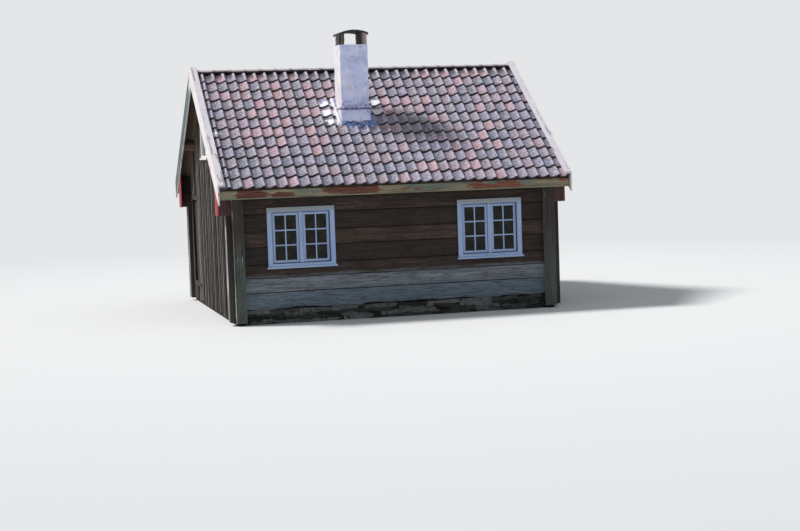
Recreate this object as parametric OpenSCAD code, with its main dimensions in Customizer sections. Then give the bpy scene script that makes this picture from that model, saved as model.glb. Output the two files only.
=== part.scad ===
// Small log cottage with a steep pantile gable roof and a whitewashed chimney.
// X runs along the front wall, Y from the front to the back, Z up.
// The origin is on the ground under the middle of the house.

/* [House] */
// Length of the house over the outer faces of the gable log walls
house_l = 6060; // [5000:10:9000]
// Depth of the house over the outer faces of the front and back log walls
house_w = 5760; // [5400:10:7000]

/* [Foundation] */
// Height of the dry stone foundation
foundation_h = 250; // [150:10:600]
// Thickness of the foundation, which also carries the floor joists
foundation_t = 400; // [350:10:600]

/* [Log walls] */
// Thickness of a log
log_t = 150; // [120:5:200]
// Mean height of a log
log_h = 291; // [240:1:340]
// How much the logs of one wall differ in height
log_vary = 30; // [0:1:40]
// Logs in the front and back walls
log_count = 8; // [7:1:10]
// Radius of the hewn face of a log
log_face_r = 1000; // [500:10:2000]
// How far the log ends run past a corner
corner_proud = 105; // [60:5:150]

/* [Floors] */
// Thickness of the floor boards
floor_t = 30; // [20:1:45]
// Height of a floor joist
joist_h = 100; // [80:5:160]
// Width of a floor joist
joist_w = 90; // [70:5:140]
// Floor joists across the house
joist_count = 8; // [6:1:12]
// Height and width of a loft beam
beam_size = 140; // [100:5:180]
// Loft beams across the house
beam_count = 5; // [3:1:8]
// Depth of the pockets in the logs that hold the loft beams
beam_seat = 80; // [50:5:100]
// Gap round floors where they pass walls and chimney
floor_gap = 8; // [2:1:20]

/* [Roof] */
// Pitch of both slopes in degrees
roof_angle = 35; // [28:0.5:42]
// How far the tiles reach out past the front and back log walls
eave_out = 340; // [260:5:500]
// How far the bargeboards stand out past the gable log walls
verge_out = 300; // [240:5:450]
// Thickness of the roof boards
roof_board_t = 28; // [20:1:35]
// Height of a tile batten
batten_h = 30; // [20:1:50]
// Width of a tile batten
batten_w = 50; // [35:1:70]
// Width of the ridge purlin
ridge_purlin_w = 180; // [120:5:240]
// Height of the ridge purlin at its sides
ridge_purlin_h = 200; // [140:5:260]
// Diameter of the round side purlins
side_purlin_d = 190; // [140:5:240]
// Gap between the chimney's foot and the side purlin beside it
side_purlin_clear = 40; // [20:5:100]

/* [Pantiles] */
// Cover width of one tile
tile_w = 205; // [180:1:260]
// Distance from one course of tiles to the next
tile_gauge = 320; // [260:1:380]
// Thickness of a tile
tile_t = 14; // [10:1:20]
// Rise of the roll over the mean level, and dip of the pan under it
tile_wave = 24; // [16:1:32]
// Outer radius of a ridge tile
ridge_tile_r = 105; // [85:1:130]
// Length of a ridge tile that shows
ridge_tile_gauge = 310; // [250:5:400]
// Thickness of a ridge tile
ridge_tile_t = 15; // [10:1:20]

/* [Eaves and verges] */
// Width of a bargeboard, square to the slope
bargeboard_w = 300; // [200:5:360]
// Thickness of bargeboards, cap boards and fascias
trim_t = 28; // [20:1:35]
// Width of the cap board that covers the edge tiles
cap_w = 105; // [80:5:170]
// Height of the fascia under the tiles
fascia_h = 155; // [120:5:200]
// How far the tiles reach past the fascia
tile_drip = 45; // [20:5:70]
// Height of the cap boards over the tile rolls
cap_lift = 30; // [5:5:50]
// Width of the red boards that close the ends of the plate logs
end_board_w = 340; // [200:5:400]

/* [Gable cladding] */
// Thickness of the vertical boards
cladding_t = 25; // [18:1:32]
// Thickness of the battens over the board joints
cladding_batten_t = 22; // [15:1:28]
// Width of a batten
cladding_batten_w = 55; // [40:1:80]
// Distance from one batten to the next
cladding_pitch = 205; // [150:5:260]
// Clear height under the cladding
cladding_clear = 50; // [20:5:150]

/* [Corner cases] */
// Thickness of the boards round the log ends
case_t = 22; // [16:1:30]

/* [Windows] */
// Width over the casing of a front or back window
window_w = 1250; // [900:10:1500]
// Height over the casing of a front or back window
window_h = 1110; // [900:10:1250]
// Height of the lower edge of the casing over the ground
window_z = 1000; // [850:10:1100]
// Distance from the end of the house to the middle of its nearest window
window_in = 1235; // [1000:5:1500]
// How far the casing boards lap over the wall round an opening
casing_w = 75; // [50:1:120]
// Width of the post between the two lights of a window
post_w = 67; // [40:1:90]
// How far a sill stands out past its casing
sill_out = 25; // [10:1:50]
// Height of a sill
sill_t = 35; // [20:1:50]
// Width over the casing of an attic window
attic_w = 900; // [600:10:1000]
// Height over the casing of an attic window
attic_h = 700; // [500:10:800]
// Height of the lower edge of an attic casing over the ground
attic_z = 3000; // [2850:10:3100]
// Distance of the left attic window from the ridge line, towards the back
attic_shift = 300; // [0:10:700]
// Width of the sash bars round the glass
sash_w = 45; // [35:1:70]
// Thickness of a sash
sash_t = 42; // [35:1:55]
// Distance of a sash behind the outer plane of the logs
sash_in = 12; // [5:1:40]
// Thickness of the lining boards in windows and doorway
lining_t = 22; // [18:1:40]
// Edge of a lining that its casing boards leave open
lining_edge = 10; // [5:1:15]
// How far casings on the gables stand out past the battens
casing_proud = 6; // [3:1:15]
// Thickness of the glass
glass_t = 4; // [3:0.5:6]

/* [Door] */
// Clear width of the doorway in the left gable
door_w = 850; // [700:10:1000]
// Clear height of the doorway
door_h = 1740; // [1600:10:1800]
// Height of the doorway over the floor
door_step = 60; // [30:5:120]
// Distance of the middle of the doorway from the back face of the house
door_in = 850; // [750:10:1200]
// Thickness of the plank door
door_t = 40; // [30:1:50]
// Length of each strap hinge across the door
strap_l = 560; // [400:10:600]
// Width of a strap hinge at its knuckle
strap_w = 48; // [30:1:60]
// Thickness of the straps and of the latch plate
strap_t = 6; // [4:0.5:8]
// Distance of each strap's middle from the foot or the head of the door
strap_in = 260; // [150:10:400]
// Diameter of the hinge knuckles
knuckle_d = 20; // [14:1:26]
// Outer diameter of the latch ring
ring_d = 86; // [60:1:110]
// Thickness of the latch ring
ring_t = 12; // [8:0.5:16]
// Diameter of the plate behind the latch ring
ring_plate_d = 64; // [40:1:90]
// Distance of the latch from the edge of the door
latch_in = 75; // [50:5:120]
// Height of the latch over the foot of the door
latch_z = 860; // [700:10:1000]

/* [Chimney] */
// Side of the square stack
chimney_w = 550; // [450:10:700]
// Side of the square flue
flue_w = 220; // [150:5:300]
// Distance of the stack's left face from the left end of the house
chimney_x = 2360; // [2200:10:2600]
// Distance of the stack's front face from the front of the house
chimney_y = 1300; // [1000:10:1600]
// Height of the stack over the ground
chimney_h = 5100; // [4900:10:5600]
// How far the footing reaches past the stack on each side
footing_out = 150; // [50:10:250]
// Height over the floor where the flue starts
flue_start = 700; // [300:50:1200]
// Height of the thicker foot of the stack over the ground
chimney_foot_z = 3930; // [3850:10:4100]
// How far the foot stands out past the stack
chimney_foot_proud = 25; // [15:1:50]
// Height of the two low walls that carry the cap, at their outer faces
cap_wall_h = 185; // [120:5:260]
// Thickness of these walls, which leave the front and the back open
cap_wall_t = 105; // [80:5:150]
// Thickness of the cap slab
cap_slab_t = 35; // [25:1:90]
// How far the cap slab reaches past the stack
cap_slab_out = 10; // [0:5:100]
// How far the cap slab lies off the middle of the stack
cap_slab_shift = 25; // [0:5:40]
// How far the cap slab rises in its middle
cap_slab_bow = 60; // [20:1:80]

/* [Hidden] */

// Relative heights of the logs, from the sill log up
log_pattern = [1, -0.7, -1.7, 1, -0.4, 1, 0.3, -0.5];
// Clearance where a piece runs close past another
fit = 0.3;
// A length past the end of whatever is cut
past = 50;
// Room left between the arc of a roll and the arc of a pan
arc_gap = 1;

half_l = house_l / 2;
half_w = house_w / 2;
function log_height(i) = log_h + log_vary * log_pattern[i % len(log_pattern)];
function log_z(i) = i == 0 ? foundation_h : log_z(i - 1) + log_height(i - 1);
plate_z = log_z(log_count);

// Points of the roof: s runs up the slope from under the tile ends, n stands square to it.
// The plane n = 0 is the underside of the roof boards and lies on the plate logs.
run = half_w + eave_out;
eave_z = plate_z - eave_out * tan(roof_angle);
function slope_point(s, n) = [
    -run + s * cos(roof_angle) - n * sin(roof_angle),
    eave_z + s * sin(roof_angle) + n * cos(roof_angle)
];
// Length up the slope at height n to the plumb plane at a distance y from the ridge
function plumb_s(n, y) = (run - y + n * sin(roof_angle)) / cos(roof_angle);
function plumb_point(n, y) = slope_point(plumb_s(n, y), n);
function deck_z(y) = plate_z + (half_w - abs(y)) * tan(roof_angle);

batten_n = roof_board_t + batten_h;
pan_n = batten_n + fit;
crest_n = pan_n + 2 * tile_wave + tile_t;
tile_s = crest_n * tan(roof_angle);
ridge_cover = 0.3 * tile_gauge;
course_count = round((plumb_s(crest_n, 0) - tile_s - ridge_cover) / tile_gauge);
course_s = (plumb_s(crest_n, 0) - tile_s - ridge_cover) / course_count;
fascia_out = eave_out - tile_drip;
deck_out = half_w + fascia_out - trim_t;

barge_x = half_l + verge_out;
deck_x = barge_x - trim_t;
tile_x = deck_x - fit;
tile_count = round(2 * tile_x / tile_w);
tile_pitch = 2 * tile_x / tile_count;
// Rolls and pans are arcs that end a little short of each other
wave_half = tile_pitch / 4 - arc_gap;
wave_r = (pow(wave_half, 2) + pow(tile_wave, 2)) / (2 * tile_wave);

floor_z = foundation_h + joist_h;
loft_z = log_z(log_count - 1);
inner_l = house_l - 2 * log_t;
inner_w = house_w - 2 * log_t;

stack_x = -half_l + chimney_x;
stack_y = -half_w + chimney_y;
stack_mid = [stack_x + chimney_w / 2, stack_y + chimney_w / 2];
foot_w = chimney_w + 2 * chimney_foot_proud;
side_purlin_y = chimney_foot_proud - stack_y + side_purlin_d / 2 + side_purlin_clear;

door_y = half_w - door_in;
door_z = floor_z + floor_t + door_step;

log_color = "#4a3530";
old_wood_color = "#6f6b66";
board_color = "#6a6660";
white_color = "#e6e2e4";
tile_color = "#8a7d84";
stone_color = "#8b8f94";
lime_color = "#c9c9dc";
red_color = "#7d1f22";
glass_color = "#39434d";
iron_color = "#2b2a2b";

// Profile of one course in the wall: a square-edged log with two hewn, slightly round faces
module log_section(h) {
    intersection() {
        translate([-log_t / 2, 0]) square([log_t, h]);
        translate([log_t / 2 - log_face_r, h / 2]) circle(log_face_r, $fn = 180);
        translate([log_face_r - log_t / 2, h / 2]) circle(log_face_r, $fn = 180);
    }
}

// A log lying along X with its middle at x = 0, its outer face towards -Y
module log_bar(length, z0, h) {
    translate([-length / 2, 0, z0]) rotate([90, 0, 90]) linear_extrude(length) log_section(h);
}

// Space that the crossing logs take out of a wall at one corner, centred on the crossing
module notch(z0, z1) {
    translate([-log_t / 2, -log_t / 2 - past, z0]) cube([log_t, log_t + 2 * past, z1 - z0]);
}

// Heights between which the front and back logs stay whole where they cross the gable logs
function core_low(i) = log_z(i) + log_height(i) / 4;
function core_high(i) = log_z(i) + 3 * log_height(i) / 4;

// The top of the plate log is bevelled to carry the roof boards
module plate_bevel() {
    translate([-barge_x, -log_t / 2, plate_z]) rotate([roof_angle, 0, 0])
        translate([0, -2 * log_t, 0]) cube([2 * barge_x, 4 * log_t, 2 * log_t]);
}

// The two top logs run on to the verges and carry the ends of the roof
long_top = log_count - 2;
plate_extra = log_t * tan(roof_angle);
module long_wall_logs() {
    difference() {
        for (i = [0:log_count - 1])
            log_bar(
                i < long_top ? house_l + 2 * corner_proud : 2 * (deck_x - case_t),
                log_z(i),
                log_height(i) + (i == log_count - 1 ? plate_extra : 0)
            );
        for (side = [-1, 1]) translate([side * (half_l - log_t / 2), 0, 0]) {
            notch(foundation_h - past, core_low(0));
            for (i = [1:log_count - 1]) notch(core_high(i - 1), core_low(i));
            notch(core_high(log_count - 1), plate_z + plate_extra + past);
        }
        plate_bevel();
    }
}

// Opening for a front or back window, with its casing boards lapping over the logs
opening_w = window_w - 2 * casing_w;
opening_h = window_h - 2 * casing_w;
opening_z = window_z + casing_w;
window_x = half_l - window_in;
module window_holes() {
    for (side = [-1, 1]) translate([side * window_x - opening_w / 2, -log_t, opening_z])
        cube([opening_w, 2 * log_t, opening_h]);
}

function beam_x(i) = -inner_l / 2 + (i + 1) * inner_l / (beam_count + 1);
module beam_pockets() {
    for (i = [0:beam_count - 1])
        translate([beam_x(i) - beam_size / 2, log_t / 2 - beam_seat, loft_z - beam_size])
            cube([beam_size, beam_seat + past, beam_size]);
}

module long_wall() {
    difference() {
        long_wall_logs();
        window_holes();
        beam_pockets();
    }
}

module front_wall() {
    color(log_color) translate([0, -half_w + log_t / 2, 0]) long_wall();
}

module back_wall() {
    color(log_color) mirror([0, 1, 0]) translate([0, -half_w + log_t / 2, 0]) long_wall();
}

// Gable logs start half a log up, so that every corner interlocks
function gable_z(j) = j == 0 ? foundation_h
    : j <= log_count ? log_z(j - 1) + log_height(j - 1) / 2
    : gable_z(j - 1) + log_h;
gable_top = deck_z(0);
gable_logs = log_count + 1 + ceil((gable_top - gable_z(log_count)) / log_h);
gable_l = house_w + 2 * corner_proud;

module gable_outline(low, out) {
    edge = half_w + out;
    polygon([
        [-edge, low], [edge, low], [edge, deck_z(edge)], [0, deck_z(0)], [-edge, deck_z(edge)]
    ]);
}

module attic_hole(y) {
    translate([-log_t, y - attic_w / 2 + casing_w, attic_z + casing_w])
        cube([2 * log_t, attic_w - 2 * casing_w, attic_h - 2 * casing_w]);
}

module door_hole(deep) {
    translate([-deep, door_y - door_w / 2, door_z]) cube([2 * deep, door_w, door_h]);
}

// The ridge purlin is bevelled on top for both slopes
ridge_side = ridge_purlin_w / 2;
ridge_low = deck_z(ridge_side) - ridge_purlin_h;
module ridge_purlin_section() {
    polygon([
        [-ridge_side, ridge_low], [ridge_side, ridge_low],
        [ridge_side, deck_z(ridge_side)], [0, deck_z(0)], [-ridge_side, deck_z(ridge_side)]
    ]);
}

// Side purlins are round logs, flattened where the roof boards lie on them
side_purlin_z = deck_z(side_purlin_y) - side_purlin_d / 2 * cos(roof_angle);
module side_purlin_rods(d, length) {
    for (side = [-1, 1]) translate([0, side * side_purlin_y, side_purlin_z]) rotate([0, 90, 0])
        cylinder(d = d, h = length, center = true, $fn = 48);
}

// Room for the purlins where they pass through a gable
module purlin_holes() {
    translate([-2 * log_t, -ridge_side, ridge_low]) cube([4 * log_t, 2 * ridge_side, gable_top]);
    side_purlin_rods(side_purlin_d + 2 * fit, 4 * log_t);
}

module gable_wall_logs() {
    difference() {
        intersection() {
            rotate([0, 0, 90]) for (j = [0:gable_logs - 1])
                log_bar(gable_l, gable_z(j), gable_z(j + 1) - gable_z(j));
            rotate([90, 0, 90]) linear_extrude(2 * log_t, center = true)
                gable_outline(foundation_h, corner_proud);
        }
        for (side = [-1, 1]) translate([0, side * (half_w - log_t / 2), 0]) rotate([0, 0, 90])
            for (i = [0:log_count - 1]) notch(core_low(i), core_high(i));
        purlin_holes();
    }
}

module left_gable_wall() {
    color(log_color) translate([-half_l + log_t / 2, 0, 0]) difference() {
        gable_wall_logs();
        attic_hole(attic_shift);
        door_hole(log_t);
    }
}

module right_gable_wall() {
    color(log_color) translate([half_l - log_t / 2, 0, 0]) difference() {
        gable_wall_logs();
        attic_hole(0);
    }
}

// Foundation walls: the front and back ones run through, the side ones fit between them
module foundation_front() {
    color(stone_color) translate([-half_l, -half_w, 0]) cube([house_l, foundation_t, foundation_h]);
}

module foundation_back() {
    mirror([0, 1, 0]) foundation_front();
}

module foundation_left() {
    length = house_w - 2 * foundation_t;
    color(stone_color) translate([-half_l, -length / 2, 0]) cube([foundation_t, length, foundation_h]);
}

module foundation_right() {
    mirror([1, 0, 0]) foundation_left();
}

// Space kept free round the chimney where floors and roof boards pass it
module chimney_space(w) {
    translate([stack_mid[0] - w / 2, stack_mid[1] - w / 2, -past]) cube([w, w, chimney_h + 2 * past]);
}

function joist_x(i) = -inner_l / 2 + (i + 0.5) * inner_l / joist_count;
module floor_joists() {
    length = inner_w - 2 * floor_gap;
    color(old_wood_color) difference() {
        for (i = [0:joist_count - 1]) translate([joist_x(i) - joist_w / 2, -length / 2, foundation_h])
            cube([joist_w, length, joist_h]);
        chimney_space(chimney_w + 2 * floor_gap);
    }
}

module floor_boards() {
    color(old_wood_color) difference() {
        translate([-inner_l / 2 + floor_gap, -inner_w / 2 + floor_gap, floor_z])
            cube([inner_l - 2 * floor_gap, inner_w - 2 * floor_gap, floor_t]);
        chimney_space(chimney_w + 2 * floor_gap);
    }
}

module loft_beams() {
    length = inner_w + 2 * beam_seat - 2 * floor_gap;
    color(log_color) for (i = [0:beam_count - 1])
        translate([beam_x(i) - beam_size / 2 + fit, -length / 2, loft_z - beam_size])
            cube([beam_size - 2 * fit, length, beam_size]);
}

module loft_boards() {
    color(old_wood_color) difference() {
        translate([-inner_l / 2 + floor_gap, -inner_w / 2 + floor_gap, loft_z])
            cube([inner_l - 2 * floor_gap, inner_w - 2 * floor_gap, floor_t]);
        chimney_space(chimney_w + 6 * floor_gap);
    }
}

// Purlins run through both gables and end behind the bargeboards
purlin_l = 2 * deck_x;
module ridge_purlin() {
    color(log_color) rotate([90, 0, 90]) linear_extrude(purlin_l, center = true) ridge_purlin_section();
}

module side_purlins() {
    color(log_color) intersection() {
        side_purlin_rods(side_purlin_d, purlin_l);
        rotate([90, 0, 90]) linear_extrude(purlin_l, center = true) gable_outline(plate_z, 0);
    }
}

// A slab on the front slope with plumb ends, between two heights over the plate plane
module slope_slab(length, out, n0, n1) {
    rotate([90, 0, 90]) linear_extrude(length, center = true)
        polygon([plumb_point(n0, out), plumb_point(n0, 0), plumb_point(n1, 0), plumb_point(n1, out)]);
}

module front_roof_boards() {
    color(board_color) difference() {
        slope_slab(2 * deck_x, deck_out, 0, roof_board_t);
        chimney_space(foot_w + 2 * floor_gap);
    }
}

module back_roof_boards() {
    color(board_color) mirror([0, 1, 0]) slope_slab(2 * deck_x, deck_out, 0, roof_board_t);
}

// Places its children on the front slope, with Y up the slope and Z square to it
module on_front_slope() {
    translate([0, -run, eave_z]) rotate([roof_angle, 0, 0]) children();
}

// One batten under the head of each course, and one at the ridge
function batten_s(j) = j < course_count
    ? tile_s + j * course_s + batten_w
    : plumb_s(pan_n, 0) - ridge_cover;
module slope_battens() {
    on_front_slope() for (j = [0:course_count]) translate([-tile_x, batten_s(j), roof_board_t])
        cube([2 * tile_x, batten_w, batten_h]);
}

module tile_battens() {
    color(old_wood_color) {
        difference() {
            slope_battens();
            chimney_space(foot_w + 2 * floor_gap);
        }
        mirror([0, 1, 0]) slope_battens();
    }
}

// Everything under the wavy top of a row of tiles, as an outline across the slope.
// Each tile has its pan on the left and its roll on the right.
module under_wave() {
    deep = 2 * (tile_wave + tile_t);
    intersection() {
        translate([-tile_x, -deep]) square([2 * tile_x, 2 * deep]);
        difference() {
            union() {
                translate([-tile_x, -deep]) square([2 * tile_x, deep]);
                for (k = [0:tile_count - 1])
                    translate([-tile_x + (k + 0.75) * tile_pitch, tile_wave - wave_r])
                        circle(wave_r, $fn = 64);
            }
            for (k = [0:tile_count - 1])
                translate([-tile_x + (k + 0.25) * tile_pitch, wave_r - tile_wave]) circle(wave_r, $fn = 64);
        }
    }
}

module tile_section() {
    difference() {
        under_wave();
        translate([0, -tile_t]) under_wave();
    }
}

module slope_tiles() {
    length = plumb_s(0, 0) - tile_s - tile_t;
    on_front_slope() translate([0, tile_s + length, pan_n + tile_wave + tile_t])
        rotate([90, 0, 0]) linear_extrude(length) tile_section();
}

module front_tiles() {
    color(tile_color) difference() {
        slope_tiles();
        chimney_space(foot_w + 2 * floor_gap);
    }
}

module back_tiles() {
    color(tile_color) mirror([0, 1, 0]) slope_tiles();
}

// Ridge tiles are half pipes in a row between the cap boards, astride the top tiles
ridge_tile_z = plumb_point(crest_n, ridge_tile_r - ridge_tile_t)[1] + fit;
ridge_x = deck_x - cap_w - fit;
ridge_tile_count = round(2 * ridge_x / ridge_tile_gauge);
ridge_tile_l = 2 * ridge_x / ridge_tile_count;
module half_pipe(r, length) {
    rotate([0, 90, 0]) difference() {
        cylinder(r = r, h = length, $fn = 64);
        translate([0, 0, -past]) cylinder(r = r - ridge_tile_t, h = length + 2 * past, $fn = 64);
        translate([0, -2 * r, -past]) cube([2 * r, 4 * r, length + 2 * past]);
    }
}

module ridge_tiles() {
    color(tile_color) for (k = [0:ridge_tile_count - 1])
        translate([-ridge_x + k * ridge_tile_l, 0, ridge_tile_z])
            half_pipe(ridge_tile_r, ridge_tile_l - fit);
}

// Bargeboards: one for each slope, meeting at the ridge, with plumb lower ends
cap_n = crest_n + cap_lift;
verge_n = cap_n + trim_t;
module verge_outline(n0, n1) {
    polygon([plumb_point(n0, run), plumb_point(n0, fit), plumb_point(n1, fit), plumb_point(n1, run)]);
}

module left_bargeboards() {
    color(white_color) for (back = [0, 1]) mirror([0, back, 0]) translate([-barge_x, 0, 0])
        rotate([90, 0, 90]) linear_extrude(trim_t) verge_outline(verge_n - bargeboard_w, verge_n);
}

module right_bargeboards() {
    mirror([1, 0, 0]) left_bargeboards();
}

// Cap boards are fixed along the inner faces of the bargeboards and cover the edge tiles
module left_cap_boards() {
    color(white_color) for (back = [0, 1]) mirror([0, back, 0]) translate([-deck_x, 0, 0])
        rotate([90, 0, 90]) linear_extrude(cap_w) verge_outline(cap_n, verge_n);
}

module right_cap_boards() {
    mirror([1, 0, 0]) left_cap_boards();
}

// Fascias are nailed to the lower ends of the roof boards, close under the tiles
fascia_top = plumb_point(pan_n, half_w + fascia_out)[1] - fit;
module eave_fascias() {
    color(old_wood_color) for (back = [0, 1]) mirror([0, back, 0])
        translate([-deck_x, -half_w - fascia_out, fascia_top - fascia_h])
            cube([2 * deck_x, trim_t, fascia_h]);
}

// Red boards close the ends and the outer sides of the plate logs past the gables
end_low = log_z(long_top);
module plate_end_board() {
    outer = half_w + case_t;
    translate([-deck_x, 0, 0]) rotate([90, 0, 90]) linear_extrude(case_t) polygon([
        [-outer, end_low], [end_board_w - outer, end_low],
        [end_board_w - outer, deck_z(outer - end_board_w) - fit], [-outer, deck_z(outer) - fit]
    ]);
    translate([-deck_x, -outer, end_low])
        cube([deck_x - half_l - case_t - fit, case_t, deck_z(outer) - fit - end_low]);
}

module plate_end_boards() {
    color(red_color) for (end = [0, 1]) mirror([end, 0, 0]) for (back = [0, 1]) mirror([0, back, 0])
        plate_end_board();
}

// Vertical boards with battens over their joints clad both gables between the corner cases
cladding_half = half_w - log_t - case_t - fit;
module cladding_layer(t) {
    translate([-t, 0, 0]) rotate([90, 0, 90]) linear_extrude(t) polygon([
        [-cladding_half, cladding_clear], [cladding_half, cladding_clear],
        [cladding_half, deck_z(cladding_half) - fit], [0, deck_z(0) - fit],
        [-cladding_half, deck_z(cladding_half) - fit]
    ]);
}

module gable_cladding(window_y) {
    side_battens = floor((cladding_half - cladding_batten_w / 2) / cladding_pitch);
    deep = cladding_t + cladding_batten_t;
    difference() {
        union() {
            cladding_layer(cladding_t);
            intersection() {
                cladding_layer(deep);
                for (k = [-side_battens:side_battens])
                    translate([-deep, k * cladding_pitch - cladding_batten_w / 2, 0])
                        cube([deep, cladding_batten_w, gable_top]);
            }
        }
        translate([-2 * past, window_y - attic_w / 2, attic_z]) cube([4 * past, attic_w, attic_h]);
        purlin_holes();
    }
}

module left_gable_cladding() {
    color(board_color) translate([-half_l, 0, 0]) difference() {
        gable_cladding(attic_shift);
        translate([-2 * past, door_y - door_w / 2 - casing_w, door_z - casing_w])
            cube([4 * past, door_w + 2 * casing_w, door_h + 2 * casing_w]);
    }
}

module right_gable_cladding() {
    color(board_color) mirror([1, 0, 0]) translate([-half_l, 0, 0]) gable_cladding(0);
}

// Boards box in the log ends at a corner: low ones round the front wall's logs, which stop
// under the long plate logs, and tall ones round the gable's logs
case_out = corner_proud + case_t;
module corner_case() {
    translate([-half_l, -half_w, cladding_clear]) {
        difference() {
            translate([-case_t, -case_out, 0])
                cube([log_t + 2 * case_t, case_out, deck_z(half_w + case_out) - fit - cladding_clear]);
            translate([0, -corner_proud, -past]) cube([log_t, corner_proud + past, plate_z]);
        }
        difference() {
            translate([-case_out, -case_t, 0]) cube([case_out, log_t + 2 * case_t, end_low - cladding_clear]);
            translate([-corner_proud, 0, -past]) cube([corner_proud + past, log_t, plate_z]);
            translate([-case_t, -case_t - past, -past]) cube([case_t + past, past + case_t, plate_z]);
        }
    }
}

module front_corner_cases() {
    color(old_wood_color) for (end = [0, 1]) mirror([end, 0, 0]) corner_case();
}

module back_corner_cases() {
    mirror([0, 1, 0]) front_corner_cases();
}

// Chimney: a stack on its own footing, with a thicker foot where it leaves the roof
footing_w = chimney_w + 2 * footing_out;
module square_block(w, z0, z1) {
    translate([stack_mid[0] - w / 2, stack_mid[1] - w / 2, z0]) cube([w, w, z1 - z0]);
}

flue_low = floor_z + flue_start;
module chimney_base() {
    color(stone_color) square_block(footing_w, 0, foundation_h);
}

module chimney_stack() {
    color(lime_color) difference() {
        square_block(chimney_w, foundation_h, chimney_h);
        square_block(flue_w, flue_low, chimney_h + past);
    }
}

foot_low = deck_z(stack_y - chimney_foot_proud) - past;
module chimney_foot() {
    color(lime_color) difference() {
        square_block(foot_w, foot_low, chimney_foot_z);
        square_block(chimney_w, foot_low - past, chimney_foot_z + past);
    }
}

slab_w = chimney_w + 2 * cap_slab_out;
slab_r = (pow(slab_w, 2) / 4 + pow(cap_slab_bow, 2)) / (2 * cap_slab_bow);
module slab_arch(r) {
    translate([cap_slab_shift, 0, cap_wall_h + cap_slab_t + cap_slab_bow - slab_r]) rotate([90, 0, 0])
        cylinder(r = r, h = 2 * slab_w, center = true, $fn = 180);
}

// The cap is a bowed slab on two low walls
module chimney_cap() {
    color(lime_color) translate([stack_mid[0], stack_mid[1], chimney_h]) {
        intersection() {
            for (side = [-1, 1]) translate([side * (chimney_w - cap_wall_t) / 2, 0, cap_wall_h])
                cube([cap_wall_t, chimney_w, 2 * cap_wall_h], center = true);
            slab_arch(slab_r - cap_slab_t / 2);
        }
        difference() {
            intersection() {
                translate([cap_slab_shift - slab_w / 2, -slab_w / 2, 0]) cube([slab_w, slab_w, chimney_w]);
                slab_arch(slab_r);
            }
            slab_arch(slab_r - cap_slab_t);
        }
    }
}

// Windows are drawn with X across, Y into the house from the logs' outer plane and Z up.
// The casing boards stand in front of that plane, the lining and the post behind it.
module ring(w, h, band, y0, y1) {
    translate([-w / 2, y0, 0]) difference() {
        cube([w, y1 - y0, h]);
        translate([band, -past, band]) cube([w - 2 * band, y1 - y0 + 2 * past, h - 2 * band]);
    }
}

// Boards round an opening, with a lining through the logs behind them
module casing(w, h, board_t) {
    ring(w, h, casing_w + lining_t - lining_edge, -board_t, 0);
    translate([0, 0, casing_w]) ring(w - 2 * casing_w, h - 2 * casing_w, lining_t, 0, log_t);
}

// A window's casing has a sill along its foot, and a post between two lights
module window_casing(w, h, lights, board_t) {
    casing(w, h, board_t);
    translate([-w / 2 - sill_out, -board_t - sill_out, 0]) cube([w + 2 * sill_out, sill_out, sill_t]);
    if (lights > 1) translate([-post_w / 2, 0, casing_w + lining_t]) cube([post_w, log_t, light_h(h)]);
}

function light_w(w, lights) = (w - 2 * (casing_w + lining_t) - (lights - 1) * post_w) / lights;
function light_h(h) = h - 2 * (casing_w + lining_t);
module each_light(w, lights) {
    for (k = [0:lights - 1])
        translate([(k - (lights - 1) / 2) * (light_w(w, lights) + post_w), sash_in, casing_w + lining_t])
            children();
}

module window_sash(w, h, lights) {
    sash_l = light_w(w, lights) - 2 * fit;
    each_light(w, lights) translate([0, 0, fit]) ring(sash_l, light_h(h) - 2 * fit, sash_w, 0, sash_t);
}

module window_pane(w, h, lights) {
    glass_w = light_w(w, lights) - 2 * fit - 2 * sash_w;
    glass_h = light_h(h) - 2 * fit - 2 * sash_w;
    each_light(w, lights) translate([-glass_w / 2, (sash_t - glass_t) / 2, fit + sash_w])
        cube([glass_w, glass_t, glass_h]);
}

module at_front_windows() {
    for (side = [-1, 1]) translate([side * window_x, -half_w, window_z]) children();
}

module at_attic_windows() {
    translate([-half_l, attic_shift, attic_z]) rotate([0, 0, -90]) children();
    translate([half_l, 0, attic_z]) rotate([0, 0, 90]) children();
}

gable_board_t = cladding_t + cladding_batten_t + casing_proud;
module front_window_casings() {
    color(white_color) at_front_windows() window_casing(window_w, window_h, 2, trim_t);
}

module front_window_sashes() {
    color(white_color) at_front_windows() window_sash(window_w, window_h, 2);
}

module front_window_glass() {
    color(glass_color) at_front_windows() window_pane(window_w, window_h, 2);
}

module back_window_casings() {
    mirror([0, 1, 0]) front_window_casings();
}

module back_window_sashes() {
    mirror([0, 1, 0]) front_window_sashes();
}

module back_window_glass() {
    mirror([0, 1, 0]) front_window_glass();
}

module attic_window_casings() {
    color(white_color) at_attic_windows() window_casing(attic_w, attic_h, 1, gable_board_t);
}

module attic_window_sashes() {
    color(white_color) at_attic_windows() window_sash(attic_w, attic_h, 1);
}

module attic_window_glass() {
    color(glass_color) at_attic_windows() window_pane(attic_w, attic_h, 1);
}

// The door stands in a lining through the logs, with casing boards outside and a threshold
module at_door() {
    translate([-half_l, door_y, door_z]) rotate([0, 0, -90]) children();
}

module door_casing() {
    color(old_wood_color) at_door() translate([0, 0, -casing_w])
        casing(door_w + 2 * casing_w, door_h + 2 * casing_w, gable_board_t);
}

leaf_w = door_w - 2 * (lining_t + fit);
leaf_h = door_h - 2 * lining_t - fit;
strap_tip = strap_w / 4;
knuckle_h = strap_w + 2 * strap_t;
ring_r = (ring_d - ring_t) / 2;
stud_l = strap_t + 1.5 * ring_t + fit;

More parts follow.
